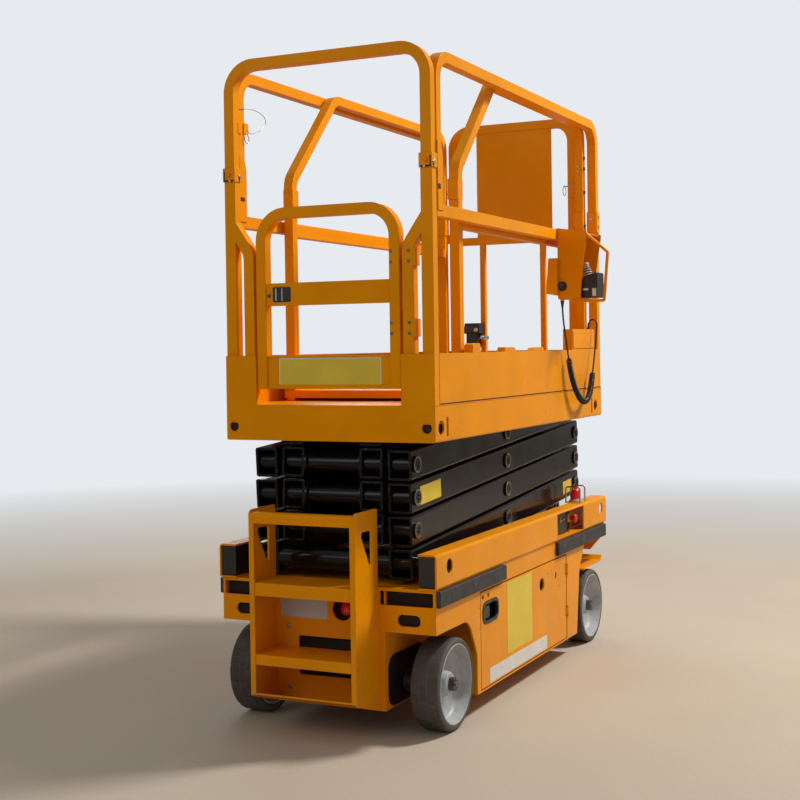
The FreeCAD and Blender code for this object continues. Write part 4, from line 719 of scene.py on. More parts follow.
class LIFT_OT_cable(bpy.types.Operator):
    """Curly cable from the hand control to the box on the toe board, with its two sleeves"""

    bl_idname = "lift.cable"
    bl_label = "Curly cable"

    def execute(self, context):
        size = sizes()
        start = [Vector(p) * MM for p in LEAD_OUT]
        end = [Vector(p) * MM for p in LEAD_IN]
        middle = along_spline([Vector(p) * MM for p in CURL])
        helix = curled(middle, (size.curl - size.cord) / 2, size.curl_pitch)
        curve = nurbs("curly_cable", [*start[:-1], *helix, *end[1:]])
        curve.resolution_u = 2
        curve.bevel_depth = size.cord / 2
        curve.bevel_resolution = 2
        curve.use_fill_caps = True
        cable = bpy.data.objects.new("curly_cable", curve)
        context.scene.collection.objects.link(cable)
        curve.materials.append(MATERIALS["cord_jacket"])
        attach(cable, "platform")
        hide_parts("cable_leads", "cable_curl")
        for name, place, down in (("sleeve_out", LEAD_OUT[0], -1), ("sleeve_in", LEAD_IN[-1], 1)):
            mesh = bmesh.new()
            profile = [(0, 8.0), (3, 8.0), (4, 6.6), (9, 6.4), (10, 5.6), (15, 5.4), (16, 4.9), (24, 4.4)]
            add_turned(mesh, place, (0, 0, down), profile, 20)
            finish_piece(name, clean(mesh), "black_plastic", "platform")
        return {"FINISHED"}


# Trim of the chassis

class LIFT_OT_plates(bpy.types.Operator):
    """Bare plates on the doors, the gate, the ladder and the arms"""

    bl_idname = "lift.plates"
    bl_label = "Bare plates"

    def execute(self, context):
        for side, sign in (("right", 1), ("left", -1)):
            body = "tray_" + side
            face = sign * DOOR_X
            bare_plate("door_plate_" + side, (-275, -20), (155, 405), "yz", face, sign, "label_yellow", body, 5)
            bare_plate("sill_plate_" + side, (-445, 143), (90, 141), "yz", face, sign, "label_white", body, 3)
            arm_label("arm_plate_rear_" + side, 3, 30, 195, 30, sign, "outer_3")
            arm_label("arm_plate_front_" + side, 1, 1462, 1572, 26, sign, "outer_1")
        bare_plate("gate_plate_rim", (-184, 193), (1116, 1212), "xz", GATE_FACE_Y, -1, "label_white", "gate", 4)
        bare_plate("gate_plate", (-180, 189), (1120, 1208), "xz", GATE_FACE_Y - 0.8, -1, "label_yellow", "gate", 3)
        bare_plate("ladder_plate", (-168, 7), (364, 435), "xz", REAR_PLATE_Y, -1, "label_silver", "chassis", 3)
        return {"FINISHED"}


def on_outer_arm(stage, along, above):
    """Y and Z of a point on an outer arm, given along it from its rear pin."""
    tilt = math.asin(ARM_PITCH / ARM_LENGTH)
    c, s = math.cos(tilt), math.sin(tilt)
    y, z = REAR_PIN[0], REAR_PIN[1] + ARM_PITCH * (stage - 1)
    return y + along * c - above * s, z + along * s + above * c


def arm_label(name, stage, start, end, half, side, body):
    mesh = bmesh.new()
    outline = [on_outer_arm(stage, *p) for p in ((start, -half), (end, -half), (end, half), (start, half))]
    face = side * ARM_X
    low, high = sorted((face, face + side * sizes().plate / MM))
    add_slab(mesh, outline, "yz", low, high)
    return finish_piece(name, clean(mesh), "label_yellow", body)


class LIFT_OT_chassis_trim(bpy.types.Operator):
    """Screws, catches, rear lamp, beacon and lower control panel of the chassis"""

    bl_idname = "lift.chassis_trim"
    bl_label = "Chassis trim"

    def execute(self, context):
        mesh = bmesh.new()
        for x, z in ((-137, 335), (-138, 134), (137, 134)):
            add_bolt(mesh, (x, REAR_PLATE_Y, z), (0, -1, 0), 13)
        finish_piece("ladder_bolts", clean(mesh), "zinc", "chassis")
        for side, sign in (("right", 1), ("left", -1)):
            strip_screws(side, sign)
            door_trim(side, sign)
        rear_lamp()
        beacon()
        ground_control()
        hollow_shade_sheets()
        return {"FINISHED"}


def strip_screws(side, sign):
    mesh = bmesh.new()
    x, z = STRIP_FACE
    for y in (-780, -600, -420, 330, 560, 790):
        add_turned(mesh, (sign * x, y, z), (sign, 0, 0), [(-2, 7), (0, 7), (1.2, 6)], 18)
        add_turned(mesh, (sign * x, y, z), (sign, 0, 0), [(0.5, 3.2), (1.6, 3.0)], 6)
    finish_piece("strip_screws_" + side, clean(mesh), "dark_steel", "chassis")


def door_trim(side, sign):
    """Paddle latch in its cup, and small screws."""
    body = "tray_" + side
    face = sign * DOOR_X
    cup = bmesh.new()
    outer = rounded_outline((-505, -358), (298, 376), 30, 6)
    inner = rounded_outline((-494, -369), (309, 365), 22, 6)
    ring_slab(cup, outer, inner, face - sign * 6, face + sign * 3)
    finish_piece("latch_frame_" + side, clean(cup), "black_plastic", body, bevel=0.8)
    back = bmesh.new()
    low, high = sorted((face - sign * 26, face - sign * 22))
    add_slab(back, rounded_outline((-497, -366), (305, 369), 24, 6), "yz", low, high)
    low, high = sorted((face - sign * 22, face - sign * 1))
    add_slab(back, rounded_outline((-488, -438), (316, 358), 12, 4), "yz", low, high)
    finish_piece("latch_paddle_" + side, clean(back), "black_plastic", body, bevel=1.2)
    bolts = bmesh.new()
    for y, z in ((160, 372), (160, 300), (300, 372), (300, 300), (-330, 120), (-330, 200)):
        add_turned(bolts, (face, y, z), (sign, 0, 0), [(-0.5, 4.2), (0.8, 4.2), (1.8, 2.6)], 14)
    finish_piece("door_rivets_" + side, clean(bolts), "zinc", body)


def ring_slab(mesh, outer, inner, low, high):
    """Add a frame between two outlines with the same number of points, in the YZ plane."""
    low, high = sorted((low, high))
    rings = [[mesh.verts.new((c * MM, a * MM, b * MM)) for a, b in line]
             for line, c in ((outer, low), (outer, high), (inner, high), (inner, low))]
    join_loops(mesh, rings)


def rear_lamp():
    """Red lamp in the round hole behind the ladder, in a dark cup that is painted shade of the hole."""
    mesh = bmesh.new()
    # Painted shade: the dark cup stands for the shade inside the round hole
    add_turned(mesh, (60, REAR_PLATE_Y + 30, 400), (0, -1, 0), [(0, 40), (6, 40), (7, 34)], 40)
    finish_piece("rear_lamp_hollow_shade", clean(mesh), "painted_shade_hollow", "chassis")
    lens = bmesh.new()
    profile = [(-2, 22), (6, 21), (10, 17), (12, 8)]
    add_turned(lens, (64, REAR_PLATE_Y + 24, 398), (-0.25, -1, 0.15), profile, 36)
    finish_piece("rear_lamp_lens", clean(lens), "red_lens", "chassis", smooth=50)


def hollow_shade_sheets():
    """Painted shade: dark sheets behind the openings of the rear plate and on the wheel wells' walls, standing for
    the shade in those hollows; and the channels' inner plates.
    """
    dark = bmesh.new()
    # Painted shade: each dark sheet stands for the shade inside an opening or a wheel well
    for sign in (1, -1):
        add_slab(dark, rounded_outline(sorted((sign * 197, sign * 379)), (421, 471), 6, 3), "xz", -872, -870)
        add_slab(dark, rounded_outline(sorted((sign * 254, sign * 340)), (358, 401), 8, 3), "xz", -881, -879)
        add_side_slab(dark, rounded_outline((-872, -600), (90, 256), 42, 6), sign, 212.2, 213.4)
    for z in (249, 176):
        add_slab(dark, rounded_outline((-106, 114), (z, z + 58), 8, 3), "xz", -876, -874)
    finish_piece("hollow_shade_sheets", clean(dark), "painted_shade_hollow", "chassis")
    for side, sign in (("right", 1), ("left", -1)):
        plate = bmesh.new()
        add_side_slab(plate, rounded_outline((558, 884), (487.5, 584.5), 3, 3), sign, 334.5, 337)
        finish_piece("channel_plate_" + side, clean(plate), "chassis_paint", "chassis", bevel=0.6)


def beacon():
    """Red beacon in a wire cage on the right channel."""
    x, y, z = BEACON
    base = bmesh.new()
    add_box(base, (x - 34, x + 34), (y - 35, y + 26), (z, z + 3))
    finish_piece("beacon_plate", clean(base), "chassis_paint", "chassis", bevel=0.8)
    foot = bmesh.new()
    add_turned(foot, (x, y, z + 3), (0, 0, 1), [(-0.5, 27), (5, 27), (6, 24), (11, 23), (12, 21)], 32)
    finish_piece("beacon_foot", clean(foot), "pale_plastic", "chassis")
    lens = bmesh.new()
    profile = [(9, 20)]
    for k in range(7):
        profile += [(12 + 4 * k, 21.2 - 0.15 * k), (14 + 4 * k, 20.4 - 0.15 * k)]
    profile += [(42, 19.8), (48, 17.8), (53, 14.5), (56.5, 10), (58.5, 5), (59, 1)]
    add_turned(lens, (x, y, z), (0, 0, 1), profile, 36)
    dome = finish_piece("beacon_lens", clean(lens), "red_lens", "chassis", smooth=50)
    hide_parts("warning_lamps")
    cage = bmesh.new()
    for along in (y - 36, y + 30):
        add_wire(cage, bent([(x - 30, along, z), (x - 30, along, z + 66), (x + 30, along, z + 66),
                             (x + 30, along, z)], 12), 3, 10)
    finish_piece("beacon_cage", clean(cage), "bright_steel", "chassis", smooth=60)


def ground_control():
    """Lower control panel in the right channel: case, key switch, toggle and stop button."""
    case = bmesh.new()
    add_slab(case, rounded_outline((263, 480), (487, 583), 5, 3), "yz", 331, PANEL_X)
    add_slab(case, rounded_outline((470, 556), (488, 582), 5, 3), "yz", 331, 350)
    panel = finish_piece("ground_panel", clean(case), "black_plastic", "chassis", bevel=1.5)
    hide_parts("ground_controls")
    key = bmesh.new()
    add_turned(key, (PANEL_X, 320, 545), (1, 0, 0), [(-1, 12), (3, 12), (4, 10.5), (9, 10), (10, 7), (12, 6)], 24)
    finish_piece("ground_key", clean(key), "bright_steel", "chassis")
    toggle = bmesh.new()
    add_turned(toggle, (PANEL_X, 400, 545), (1, 0, 0), [(-1, 9), (2.5, 9), (3, 6.5), (5, 6)], 20)
    add_turned(toggle, (PANEL_X + 4, 400, 545), (0.94, 0, 0.34), [(0, 2.6), (12, 3.4), (14, 2.4)], 14)
    finish_piece("ground_toggle", clean(toggle), "zinc", "chassis")
    collar = bmesh.new()
    add_turned(collar, (349, *STOP_PLACE), (1, 0, 0), [(0, 17), (6, 17), (8, 15), (10, 14)], 28)
    finish_piece("stop_collar", clean(collar), "label_yellow", "chassis")
    head = bmesh.new()
    profile = [(0, 9), (14, 10), (17, 17), (19, 18), (25, 18), (28, 15.5), (29, 11)]
    add_turned(head, (357, *STOP_PLACE), (1, 0, 0), profile, 32)
    finish_piece("ground_stop", clean(head), "stop_red", "chassis", smooth=50)


# Trim of the arms, wheels and platform

class LIFT_OT_arm_trim(bpy.types.Operator):
    """Rings on the pins and caps on the arms' ends"""

    bl_idname = "lift.arm_trim"
    bl_label = "Arm trim"

    def execute(self, context):
        for stage in range(1, 5):
            middle = (REAR_PIN[0] + FRONT_PIN_Y) / 2, REAR_PIN[1] + ARM_PITCH * (stage - 0.5)
            front = FRONT_PIN_Y, REAR_PIN[1] + ARM_PITCH * (stage - 1)
            rear = REAR_PIN[0], REAR_PIN[1] + ARM_PITCH * stage
            spots = [middle] if stage == 1 else [middle, front]
            if stage < 4:
                spots.append(rear)
            pin_rings("pin_rings_%d" % stage, spots, "inner_%d" % stage)
            end_caps("end_caps_%d" % stage, stage)
        return {"FINISHED"}


PIN_HEAD_OUT = 293.3
NIPPLE_PROFILE = [(0, 10), (1.2, 10), (1.4, 4.5), (4, 4.2), (4.4, 2.6), (6.6, 2.6), (7.4, 3.2), (8.6, 1.6)]


def pin_rings(name, spots, body):
    """Turned rings with a grease nipple in each pin's middle."""
    rings, nipples = bmesh.new(), bmesh.new()
    for sign in (1, -1):
        for y, z in spots:
            face = (sign * PIN_HEAD_OUT, y, z)
            ring_profile(rings, face, (sign, 0, 0), 27.4, 20.5)
            add_turned(nipples, (sign * (PIN_HEAD_OUT - 4.5), y, z), (sign, 0, 0), NIPPLE_PROFILE, 14)
    finish_piece(name, clean(rings), "worn_steel", body)
    finish_piece(name.replace("rings", "nipples"), clean(nipples), "dark_steel", body)


def ring_profile(mesh, centre, axis, outer, inner, tall=1.4, steps=36):
    """Add a flat ring with a rounded rim standing on a face."""
    turn = Vector(axis).normalized().to_track_quat("Z", "Y").to_matrix()
    profile = [(-1.0, outer), (tall - 0.6, outer), (tall, outer - 1.4), (tall, inner + 1.2),
               (tall - 0.8, inner), (-1.0, inner)]
    angles = [2 * math.pi * k / steps for k in range(steps)]
    rings = []
    for along, radius in profile:
        around = [Vector((radius * math.cos(angle), radius * math.sin(angle), along)) for angle in angles]
        rings.append([mesh.verts.new((Vector(centre) + turn @ spot) * MM) for spot in around])
    join_loops(mesh, rings)


def end_caps(name, stage):
    """Beads of thin welded caps on both ends of a stage's arms."""
    tilt = math.asin(ARM_PITCH / ARM_LENGTH)
    for kind, x0, direction, level in (("outer", OUTER_ARM_IN, 1, stage - 1), ("inner", INNER_ARM_IN, -1, stage)):
        mesh = bmesh.new()
        for sign in (1, -1):
            for end in (-ARM_OVERHANG, ARM_LENGTH + ARM_OVERHANG):
                add_cap(mesh, sign, x0, direction * tilt, level, end)
        finish_piece("%s_%s" % (name, kind), clean(mesh), "arm_black", "%s_%d" % (kind, stage), bevel=0.8)


def add_cap(mesh, sign, x0, tilt, level, along):
    """Add one cap's raised bead: a rectangular ring round the arm's end."""
    c, s = math.cos(tilt), math.sin(tilt)
    outward = 1 if along > 0 else -1
    corners_in = [(x0 + 8, -41), (x0 + 74, -41), (x0 + 74, 41), (x0 + 8, 41)]
    corners_out = [(x0 + 4, -45), (x0 + 78, -45), (x0 + 78, 45), (x0 + 4, 45)]

    def place(x, above, reach):
        run = along + outward * reach
        return (sign * x * MM, (REAR_PIN[0] + run * c - above * s) * MM,
                (REAR_PIN[1] + ARM_PITCH * level + run * s + above * c) * MM)

    loops = [[mesh.verts.new(place(x, h, reach)) for x, h in line] for line, reach in (
        (corners_out, -0.5), (corners_out, 0.8), (corners_in, 0.8), (corners_in, -0.5))]
    join_loops(mesh, loops)


class LIFT_OT_wheel_trim(bpy.types.Operator):
    """Tyres, dished rims and castle nuts with split pins"""

    bl_idname = "lift.wheel_trim"
    bl_label = "Wheel trim"

    def execute(self, context):
        for end, y in (("rear", -AXLE_Y), ("front", AXLE_Y)):
            for side, sign in (("right", 1), ("left", -1)):
                body = "chassis" if end == "rear" else "steer_" + side
                castle_nut("nut_%s_%s" % (end, side), sign, y, body)
                wheel(end, side, sign, y)
        return {"FINISHED"}


def castle_nut(name, sign, y, body):
    """Crown of a castle nut over the stub axle's nut, with its split pin."""
    face = WHEEL_FACE - HUB_DEPTH
    nut = bmesh.new()
    for k in range(6):
        angle = math.radians(60 * k + 30)
        cy, cz = 15.5 * math.cos(angle), 15.5 * math.sin(angle)
        add_turned(nut, (sign * (face + 16), y + cy, AXLE_Z + cz), (sign, 0, 0),
                   [(-1, 5.2), (5.5, 5.2), (6.5, 4.0)], 8)
    crown = [(0, 10), (5, 10), (6, 8.6), (6.2, 3), (5, 2)]
    add_turned(nut, (sign * (face + 18), y, AXLE_Z), (sign, 0, 0), crown, 24)
    finish_piece(name, clean(nut), "worn_steel", body, bevel=0.5)
    pin = bmesh.new()
    add_turned(pin, (sign * (face + 20.5), y - 19, AXLE_Z), (0, 1, 0), [(0, 1.6), (38, 1.6)], 10)
    add_turned(pin, (sign * (face + 20.5), y + 19, AXLE_Z - 9), (0, 0, 1), [(0, 1.2), (9, 1.5)], 8)
    add_turned(pin, (sign * (face + 20.5), y - 21, AXLE_Z - 3), (0, 0, 1), [(0, 2.2), (6, 2.2)], 10)
    finish_piece(name.replace("nut", "split_pin"), clean(pin), "dark_steel", body)


TYRE_PROFILE = [(-98, 128.5), (-100, 131), (-100, 140), (-96.2, 146.2), (-92, 149), (-87, 150), (-13, 150),
                (-8, 149), (-3.8, 146.2), (-0.8, 142), (0, 138.5), (-0.9, 137.5), (-0.9, 135), (-0.2, 134),
                (-0.6, 132), (-3, 131), (-3, 128.5)]
RIM_PROFILE = [(-HUB_DEPTH, 20.5), (-HUB_DEPTH, 33), (-25, 37), (-45, 43), (-50, 52), (-52, 96), (-49, 108),
               (-42, 116), (-34, 119), (-5, 124), (-1.5, 125.2), (-0.4, 127), (-0.8, 129), (-2, 130.4),
               (-4, 130.8), (-6, 127.5), (-96, 127.5), (-98, 124), (-96, 119), (-62, 116), (-58, 96), (-58, 30),
               (-84, 28), (-84, 20.5)]


def wheel(end, side, sign, y):
    """Solid tyre with thin shoulders on a wide dished rim."""
    name = "%s_%s" % (end, side)
    tyre = bmesh.new()
    turned_ring(tyre, sign, y, TYRE_PROFILE, 96)
    piece = finish_piece("wheel_tyre_" + name, clean(tyre), "tyre_rubber", "wheel_" + name)
    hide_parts("tyre_" + name)
    rim = bmesh.new()
    turned_ring(rim, sign, y, RIM_PROFILE, 96)
    piece = finish_piece("wheel_rim_" + name, clean(rim), "rim_grey", "wheel_" + name)
    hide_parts("rim_" + name)


def turned_ring(mesh, sign, y, profile, steps=72):
    """Add a ring about an axle; profile is (distance out from the wheel's face, radius)."""
    angles = [2 * math.pi * k / steps for k in range(steps)]
    join_loops(mesh, [[mesh.verts.new((sign * (WHEEL_FACE + out) * MM, (y + r * math.cos(angle)) * MM,
                                       (AXLE_Z + r * math.sin(angle)) * MM)) for angle in angles]
                      for out, r in profile])


class LIFT_OT_hand_control(bpy.types.Operator):
    """Hand control: case, ribbed boot with its cap, key and a bare plate; the boot's ribs and cap are pale, a
    painted highlight
    """

    bl_idname = "lift.hand_control"
    bl_label = "Hand control"

    def execute(self, context):
        case = bmesh.new()
        outline = [(413, 1425), (538, 1425), (538, 1519), (532, 1524), (413, 1474)]
        add_slab(case, outline, "xz", 360, 450)
        piece = finish_piece("control_case", clean(case), "black_plastic", "platform", bevel=3.0)
        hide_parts("control_box")
        lean = Vector((-0.18, 0, 1)).normalized()
        base = Vector((492, 400, 1501))
        core = bmesh.new()
        add_turned(core, base, lean, [(-8, 24), (0, 24), (48, 9)], 28)
        finish_piece("boot_core", clean(core), "boot_rubber", "platform", smooth=50)
        # Painted highlight: the ribs and the cap are pale plastic, standing for the sheen on a glossy black boot
        ribs = bmesh.new()
        for k in range(5):
            radius = 27 - 3.6 * k
            along = 1 + 10 * k
            rib = [(along - 0.5, radius - 4), (along + 1, radius - 0.6), (along + 2.6, radius),
                   (along + 4.2, radius - 0.8), (along + 5.5, radius - 4)]
            add_turned(ribs, base, lean, rib, 32)
        add_turned(ribs, base, lean, [(47, 8), (48, 10), (56, 11), (60, 10.4), (62.5, 8), (63, 4)], 28)
        finish_piece("boot_rib_highlights", clean(ribs), "pale_plastic", "platform", smooth=50)
        key = bmesh.new()
        add_slab(key, rounded_outline((481, 503), (1453, 1461), 2, 3), "xz", 356.5, 361)
        finish_piece("control_key", clean(key), "bright_steel", "platform", bevel=0.4)
        bare_plate("control_plate", (518, 534), (1430, 1461), "xz", 360, -1, "label_white", "platform", 1.5)
        plug = bmesh.new()
        profile = [(-8, 15), (1, 15), (1.2, 19), (5, 18.5), (8, 14), (14, 12.5), (15, 9)]
        add_turned(plug, (403, 341, 1471), (0, -1, 0), profile, 28)
        finish_piece("carrier_plug", clean(plug), "black_plastic", "platform", bevel=0.6)
        return {"FINISHED"}


class LIFT_OT_platform_trim(bpy.types.Operator):
    """Gate catch, box lids, sockets' pins, stops and latches of the platform and its extension"""

    bl_idname = "lift.platform_trim"
    bl_label = "Platform trim"

    def execute(self, context):
        hole_shade_backs()
        toe_seam_shade()
        toe_blocks()
        for side, sign in (("right", 1), ("left", -1)):
            socket_trim(side, sign)
            front_trim(side, sign)
        lanyard()
        lid = bmesh.new()
        (rear, front), (low, high) = TOE_BOX
        add_slab(lid, rounded_outline((rear, front), (low, high), 4, 3), "yz", 383.2, 385.4)
        finish_piece("toe_box_lid", clean(lid), "platform_paint", "platform", bevel=0.6)
        screws = bmesh.new()
        for y in (rear + 8, front - 8):
            for z in (low + 8, high - 8):
                add_turned(screws, (385.2, y, z), (1, 0, 0), [(-0.5, 4), (1, 4), (1.8, 2.6)], 14)
        finish_piece("toe_box_screws", clean(screws), "zinc", "platform")
        outlet_face()
        gate_latch()
        return {"FINISHED"}


def gate_latch():
    """Catch behind the hole in the gate's plate, and the nuts of the gate's hinges."""
    back = bmesh.new()
    add_slab(back, rounded_outline((-203, -135), (1397, 1447), 4, 3), "xz", -853.4, -831)
    finish_piece("gate_latch_back", clean(back), "black_plastic", "gate", bevel=0.8)
    bars = bmesh.new()
    for x, width in ((-190, 3.4), (-167, 2.6)):
        add_wire(bars, [(x, -853.4, 1401), (x, -853.4, 1443)], width, 10)
    finish_piece("gate_latch_bars", clean(bars), "bright_steel", "gate")
    screw = bmesh.new()
    add_turned(screw, (-217, -852, 1419), (0, -1, 0), [(-0.5, 7), (1, 7), (2.4, 4.5)], 18)
    finish_piece("gate_latch_screw", clean(screw), "dark_steel", "gate")
    nut = [(-0.5, 5.6), (0.8, 5.6), (2.2, 3.6), (2.3, 1.4), (1.2, 1.2)]
    for name, x, body in (("gate_hinge_nuts", 234, "gate"), ("loop_hinge_nuts", 297, "platform")):
        nuts = bmesh.new()
        for z in HINGE_NUT_Z:
            add_turned(nuts, (x, HINGE_Y, z), (0, -1, 0), nut, 16)
        finish_piece(name, clean(nuts), "worn_steel", body)
    for k, z in enumerate((1275, 1500)):
        tab = bmesh.new()
        add_box(tab, (311, 321), (-857, -822), (z, z + 57))
        finish_piece("loop_tab_%d" % (k + 1), clean(tab), "platform_paint", "platform", bevel=0.8)


def hole_shade_backs():
    """Painted shade: dark sheets behind the round corner holes of the platform's frame, standing for the shade in
    them.
    """
    backs = bmesh.new()
    for sign in (1, -1):
        x = sorted((sign * 330, sign * 372))
        add_slab(backs, rounded_outline(x, (952, 1018), 8, 3), "xz", -852, -850)
        add_side_slab(backs, rounded_outline((742, 846), (948, 1022), 8, 3), sign, 374, 376)
    finish_piece("hole_shade_backs", clean(backs), "painted_shade_gaps", "platform")


def toe_seam_shade():
    """Painted shade: a dark strip for the shade in the seam between the toe boards and the frame, over a bead of
    paint.
    """
    seams, beads = bmesh.new(), bmesh.new()
    for sign in (1, -1):
        # Painted shade: this strip stands for the shade in the seam
        add_side_slab(seams, rounded_outline((-818, 892), (1058.2, 1061.8), 1, 2), sign, 382.6, 384.4)
        add_wire(beads, [(sign * 383.6, -858 + 584 * k / 4, 1056) for k in range(13)], 1.8, 8)
    finish_piece("toe_seam_shade", clean(seams), "painted_shade_gaps", "platform")
    finish_piece("toe_beads", clean(beads), "platform_paint", "platform", smooth=60)


TOE_BLOCKS = (
    [(-538, 1220), (-464, 1220), (-467, 1246), (-474, 1252), (-528, 1252), (-536, 1246)],
    [(-238, 1220), (-190, 1220), (-196, 1237), (-230, 1237)],
    [(-190, 1220), (-122, 1220), (-130, 1231), (-148, 1237), (-172, 1237), (-184, 1231)],
    [(67, 1220), (182, 1220), (176, 1232), (160, 1235), (86, 1233)],
)


def toe_blocks():
    """Folded stops and eyes on the upper edge of the right toe board."""
    for k, outline in enumerate(TOE_BLOCKS):
        mesh = bmesh.new()
        add_slab(mesh, outline, "yz", 350, 381)
        finish_piece("toe_block_%d" % (k + 1), clean(mesh), "platform_paint", "platform", bevel=1.5)


def socket_trim(side, sign):
    """Painted shade as dark strips in the gaps and the notch of a rear post's socket and in the slot openings
    under it; and the socket's lock bolt and pins.
    """
    # Painted shade: dark strips for the shade in the socket's gaps and its notch
    gap = bmesh.new()
    add_box(gap, sorted((sign * 345, sign * 381)), (SOCKET_Y - 0.5, SOCKET_Y + 0.9), (1806.5, 1812))
    add_box(gap, sorted((sign * 377, sign * 381)), (SOCKET_Y - 0.5, SOCKET_Y + 0.9), (1812, 1842))
    add_side_slab(gap, rounded_outline((-817, -797), (1741, 1758), 3, 3), sign, 385.8, 386.4)
    add_side_slab(gap, rounded_outline((-817, -790), (1744, 1758), 3, 3), sign, 343.6, 344.2)
    finish_piece("socket_gap_shade_" + side, clean(gap), "painted_shade_gaps", "platform")
    pins = bmesh.new()
    add_turned(pins, (sign * 358, SOCKET_Y, 1809), (0, -1, 0), [(-1, 4.5), (1.5, 4.5), (2.5, 3)], 16)
    add_turned(pins, (sign * 385, -848, 1822), (sign, 0, 0), [(-1, 7.5), (3.2, 7.5), (4.2, 6.2)], 6)
    add_turned(pins, (sign * 339, -830, 1825), (-sign, 0, 0), [(-1, 7.5), (3.2, 7.5), (4.2, 6.2)], 6)
    finish_piece("socket_pins_" + side, clean(pins), "zinc", "platform")
    # Painted shade: dark strips for the shade in the slot openings
    slots = bmesh.new()
    add_side_slab(slots, rounded_outline((-852, -844), (1806, 1817), 3, 3), sign, 384.8, 385.4)
    add_side_slab(slots, rounded_outline((-834, -826), (1807, 1818), 3, 3), sign, 338.6, 339.2)
    finish_piece("socket_slot_shade_" + side, clean(slots), "painted_shade_gaps", "platform")


def front_trim(side, sign):
    """Wear pads, latch pin and bolts where the extension's rails run in the side rails."""
    pads = bmesh.new()
    for z in (1748, 1890, 1990, 2035):
        add_turned(pads, (sign * 336.5, 838, z), (sign, 0, 0), [(-1, 8), (5.5, 8), (6.5, 6.5)], 20)
    finish_piece("rail_pads_" + side, clean(pads), "dark_steel", "extension")
    pin = bmesh.new()
    add_wire(pin, [(sign * x, 854, 1922) for x in (242, 262, 284, 305)], 3, 10)
    ring = [p + Vector((sign * 246, 852, 1902)) for p in circle((0, 0, 0), "yz", 20, 24)]
    add_wire(pin, ring, 1.5, 6, True)
    finish_piece("latch_pin_" + side, clean(pin), "zinc", "extension", smooth=60)
    plate = bmesh.new()
    add_slab(plate, rounded_outline(sorted((sign * 262, sign * 297)), (1874, 1928), 3, 3), "xz", 853, 857)
    finish_piece("latch_plate_" + side, clean(plate), "platform_paint", "extension", bevel=0.8)
    bolts = bmesh.new()
    for z in (1978, 1998):
        add_turned(bolts, (sign * 318, 821, z), (0, -1, 0), [(-1, 5), (3, 5), (4, 3.6)], 6)
    finish_piece("rail_bolts_" + side, clean(bolts), "zinc", "extension")
    bolt = bmesh.new()
    add_bolt(bolt, (sign * 364, 852, 1774), (0, -1, 0), 11)
    finish_piece("front_bolt_" + side, clean(bolt), "zinc", "platform")


LANYARD = [(-345, -817, 2056), (-343, -765, 2062), (-342, -725, 2064), (-342, -680, 2058), (-342, -652, 2045),
           (-342, -651, 2025), (-342, -676, 2005), (-342, -707, 1991), (-342, -748, 1980), (-343, -776, 1990)]


def lanyard():
    """Plates on the left rear rail with a ring and a loop of steel wire."""
    for name, y, z in (("rail_plate_rear", (-828, -803), (1971, 2011)),
                       ("rail_plate_front", (-790, -762), (1973, 2012))):
        mesh = bmesh.new()
        add_slab(mesh, rounded_outline(y, z, 3, 3), "yz", -347.2, -342.5)
        finish_piece(name, clean(mesh), "platform_paint", "platform", bevel=0.8)
    ring = bmesh.new()
    add_wire(ring, circle((-341, -776, 1958), "yz", 14, 28), 1.6, 8, True)
    add_wire(ring, smoothed(LANYARD), 1.3, 8)
    finish_piece("rail_lanyard", clean(ring), "bright_steel", "platform", smooth=60)


def outlet_face():
    """Socket box in the extension: case, wide lid, two ribs, plug and knob."""
    case = bmesh.new()
    add_slab(case, rounded_outline((-198, -150), (1236, 1300), 5, 3), "xz", 800, 857)
    finish_piece("outlet_case", clean(case), "black_plastic", "extension", bevel=1.5)
    lid = bmesh.new()
    outline = [(857, 1297), (792, 1297), (790, 1318), (800, 1343), (857, 1343)]
    add_slab(lid, outline, "yz", -205, -134)
    piece = finish_piece("outlet_lid", clean(lid), "black_plastic", "extension", bevel=2.0)
    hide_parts("outlet_box")
    ribs = bmesh.new()
    for z in (1308, 1320):
        add_wire(ribs, [(x, 790.6, z) for x in (-201, -180, -160, -138)], 1.0, 8)
    finish_piece("outlet_ribs", clean(ribs), "dark_steel", "extension", smooth=60)
    plug = bmesh.new()
    add_turned(plug, (-122, 800, 1279), (0, -1, 0), [(-56, 10), (4, 10), (5, 8.5), (9, 8), (10, 6)], 28)
    finish_piece("outlet_plug", clean(plug), "bright_steel", "extension")
    knob = bmesh.new()
    add_turned(knob, (-148, 791, 1312), (0, -1, 0), [(-2, 9), (4, 9), (6, 7.5), (6.5, 4)], 24)
    finish_piece("outlet_knob", clean(knob), "pale_plastic", "extension")


# Stage

def look_matrix(place, yaw, pitch, roll):
    """Camera matrix from angles in degrees: yaw turns left from +Y, pitch looks down."""
    yaw, pitch, roll = (math.radians(a) for a in (yaw, pitch, roll))
    ahead = Vector((-math.sin(yaw) * math.cos(pitch), math.cos(yaw) * math.cos(pitch), -math.sin(pitch)))
    right = Vector((math.cos(yaw), math.sin(yaw), 0.0))
    up = right.cross(ahead)
    c, s = math.cos(roll), math.sin(roll)
    right, up = right * c + up * s, up * c - right * s
    matrix = Matrix.Identity(4)
    for column, axis in enumerate((right, up, -ahead)):
        for row in range(3):
            matrix[row][column] = axis[row]
    matrix.translation = place
    return matrix


CAMERA_PLACE = (2.1265, -4.7894, 1.2423)
CAMERA_ANGLES = (25.365, 0.863, -0.847)
CAMERA_FOCAL = 1371.6265     # in pixels of the photograph, which is 800 wide
CAMERA_CENTRE = 367.84       # row of the picture that the camera points at
PHOTO_SIZE = 800.0

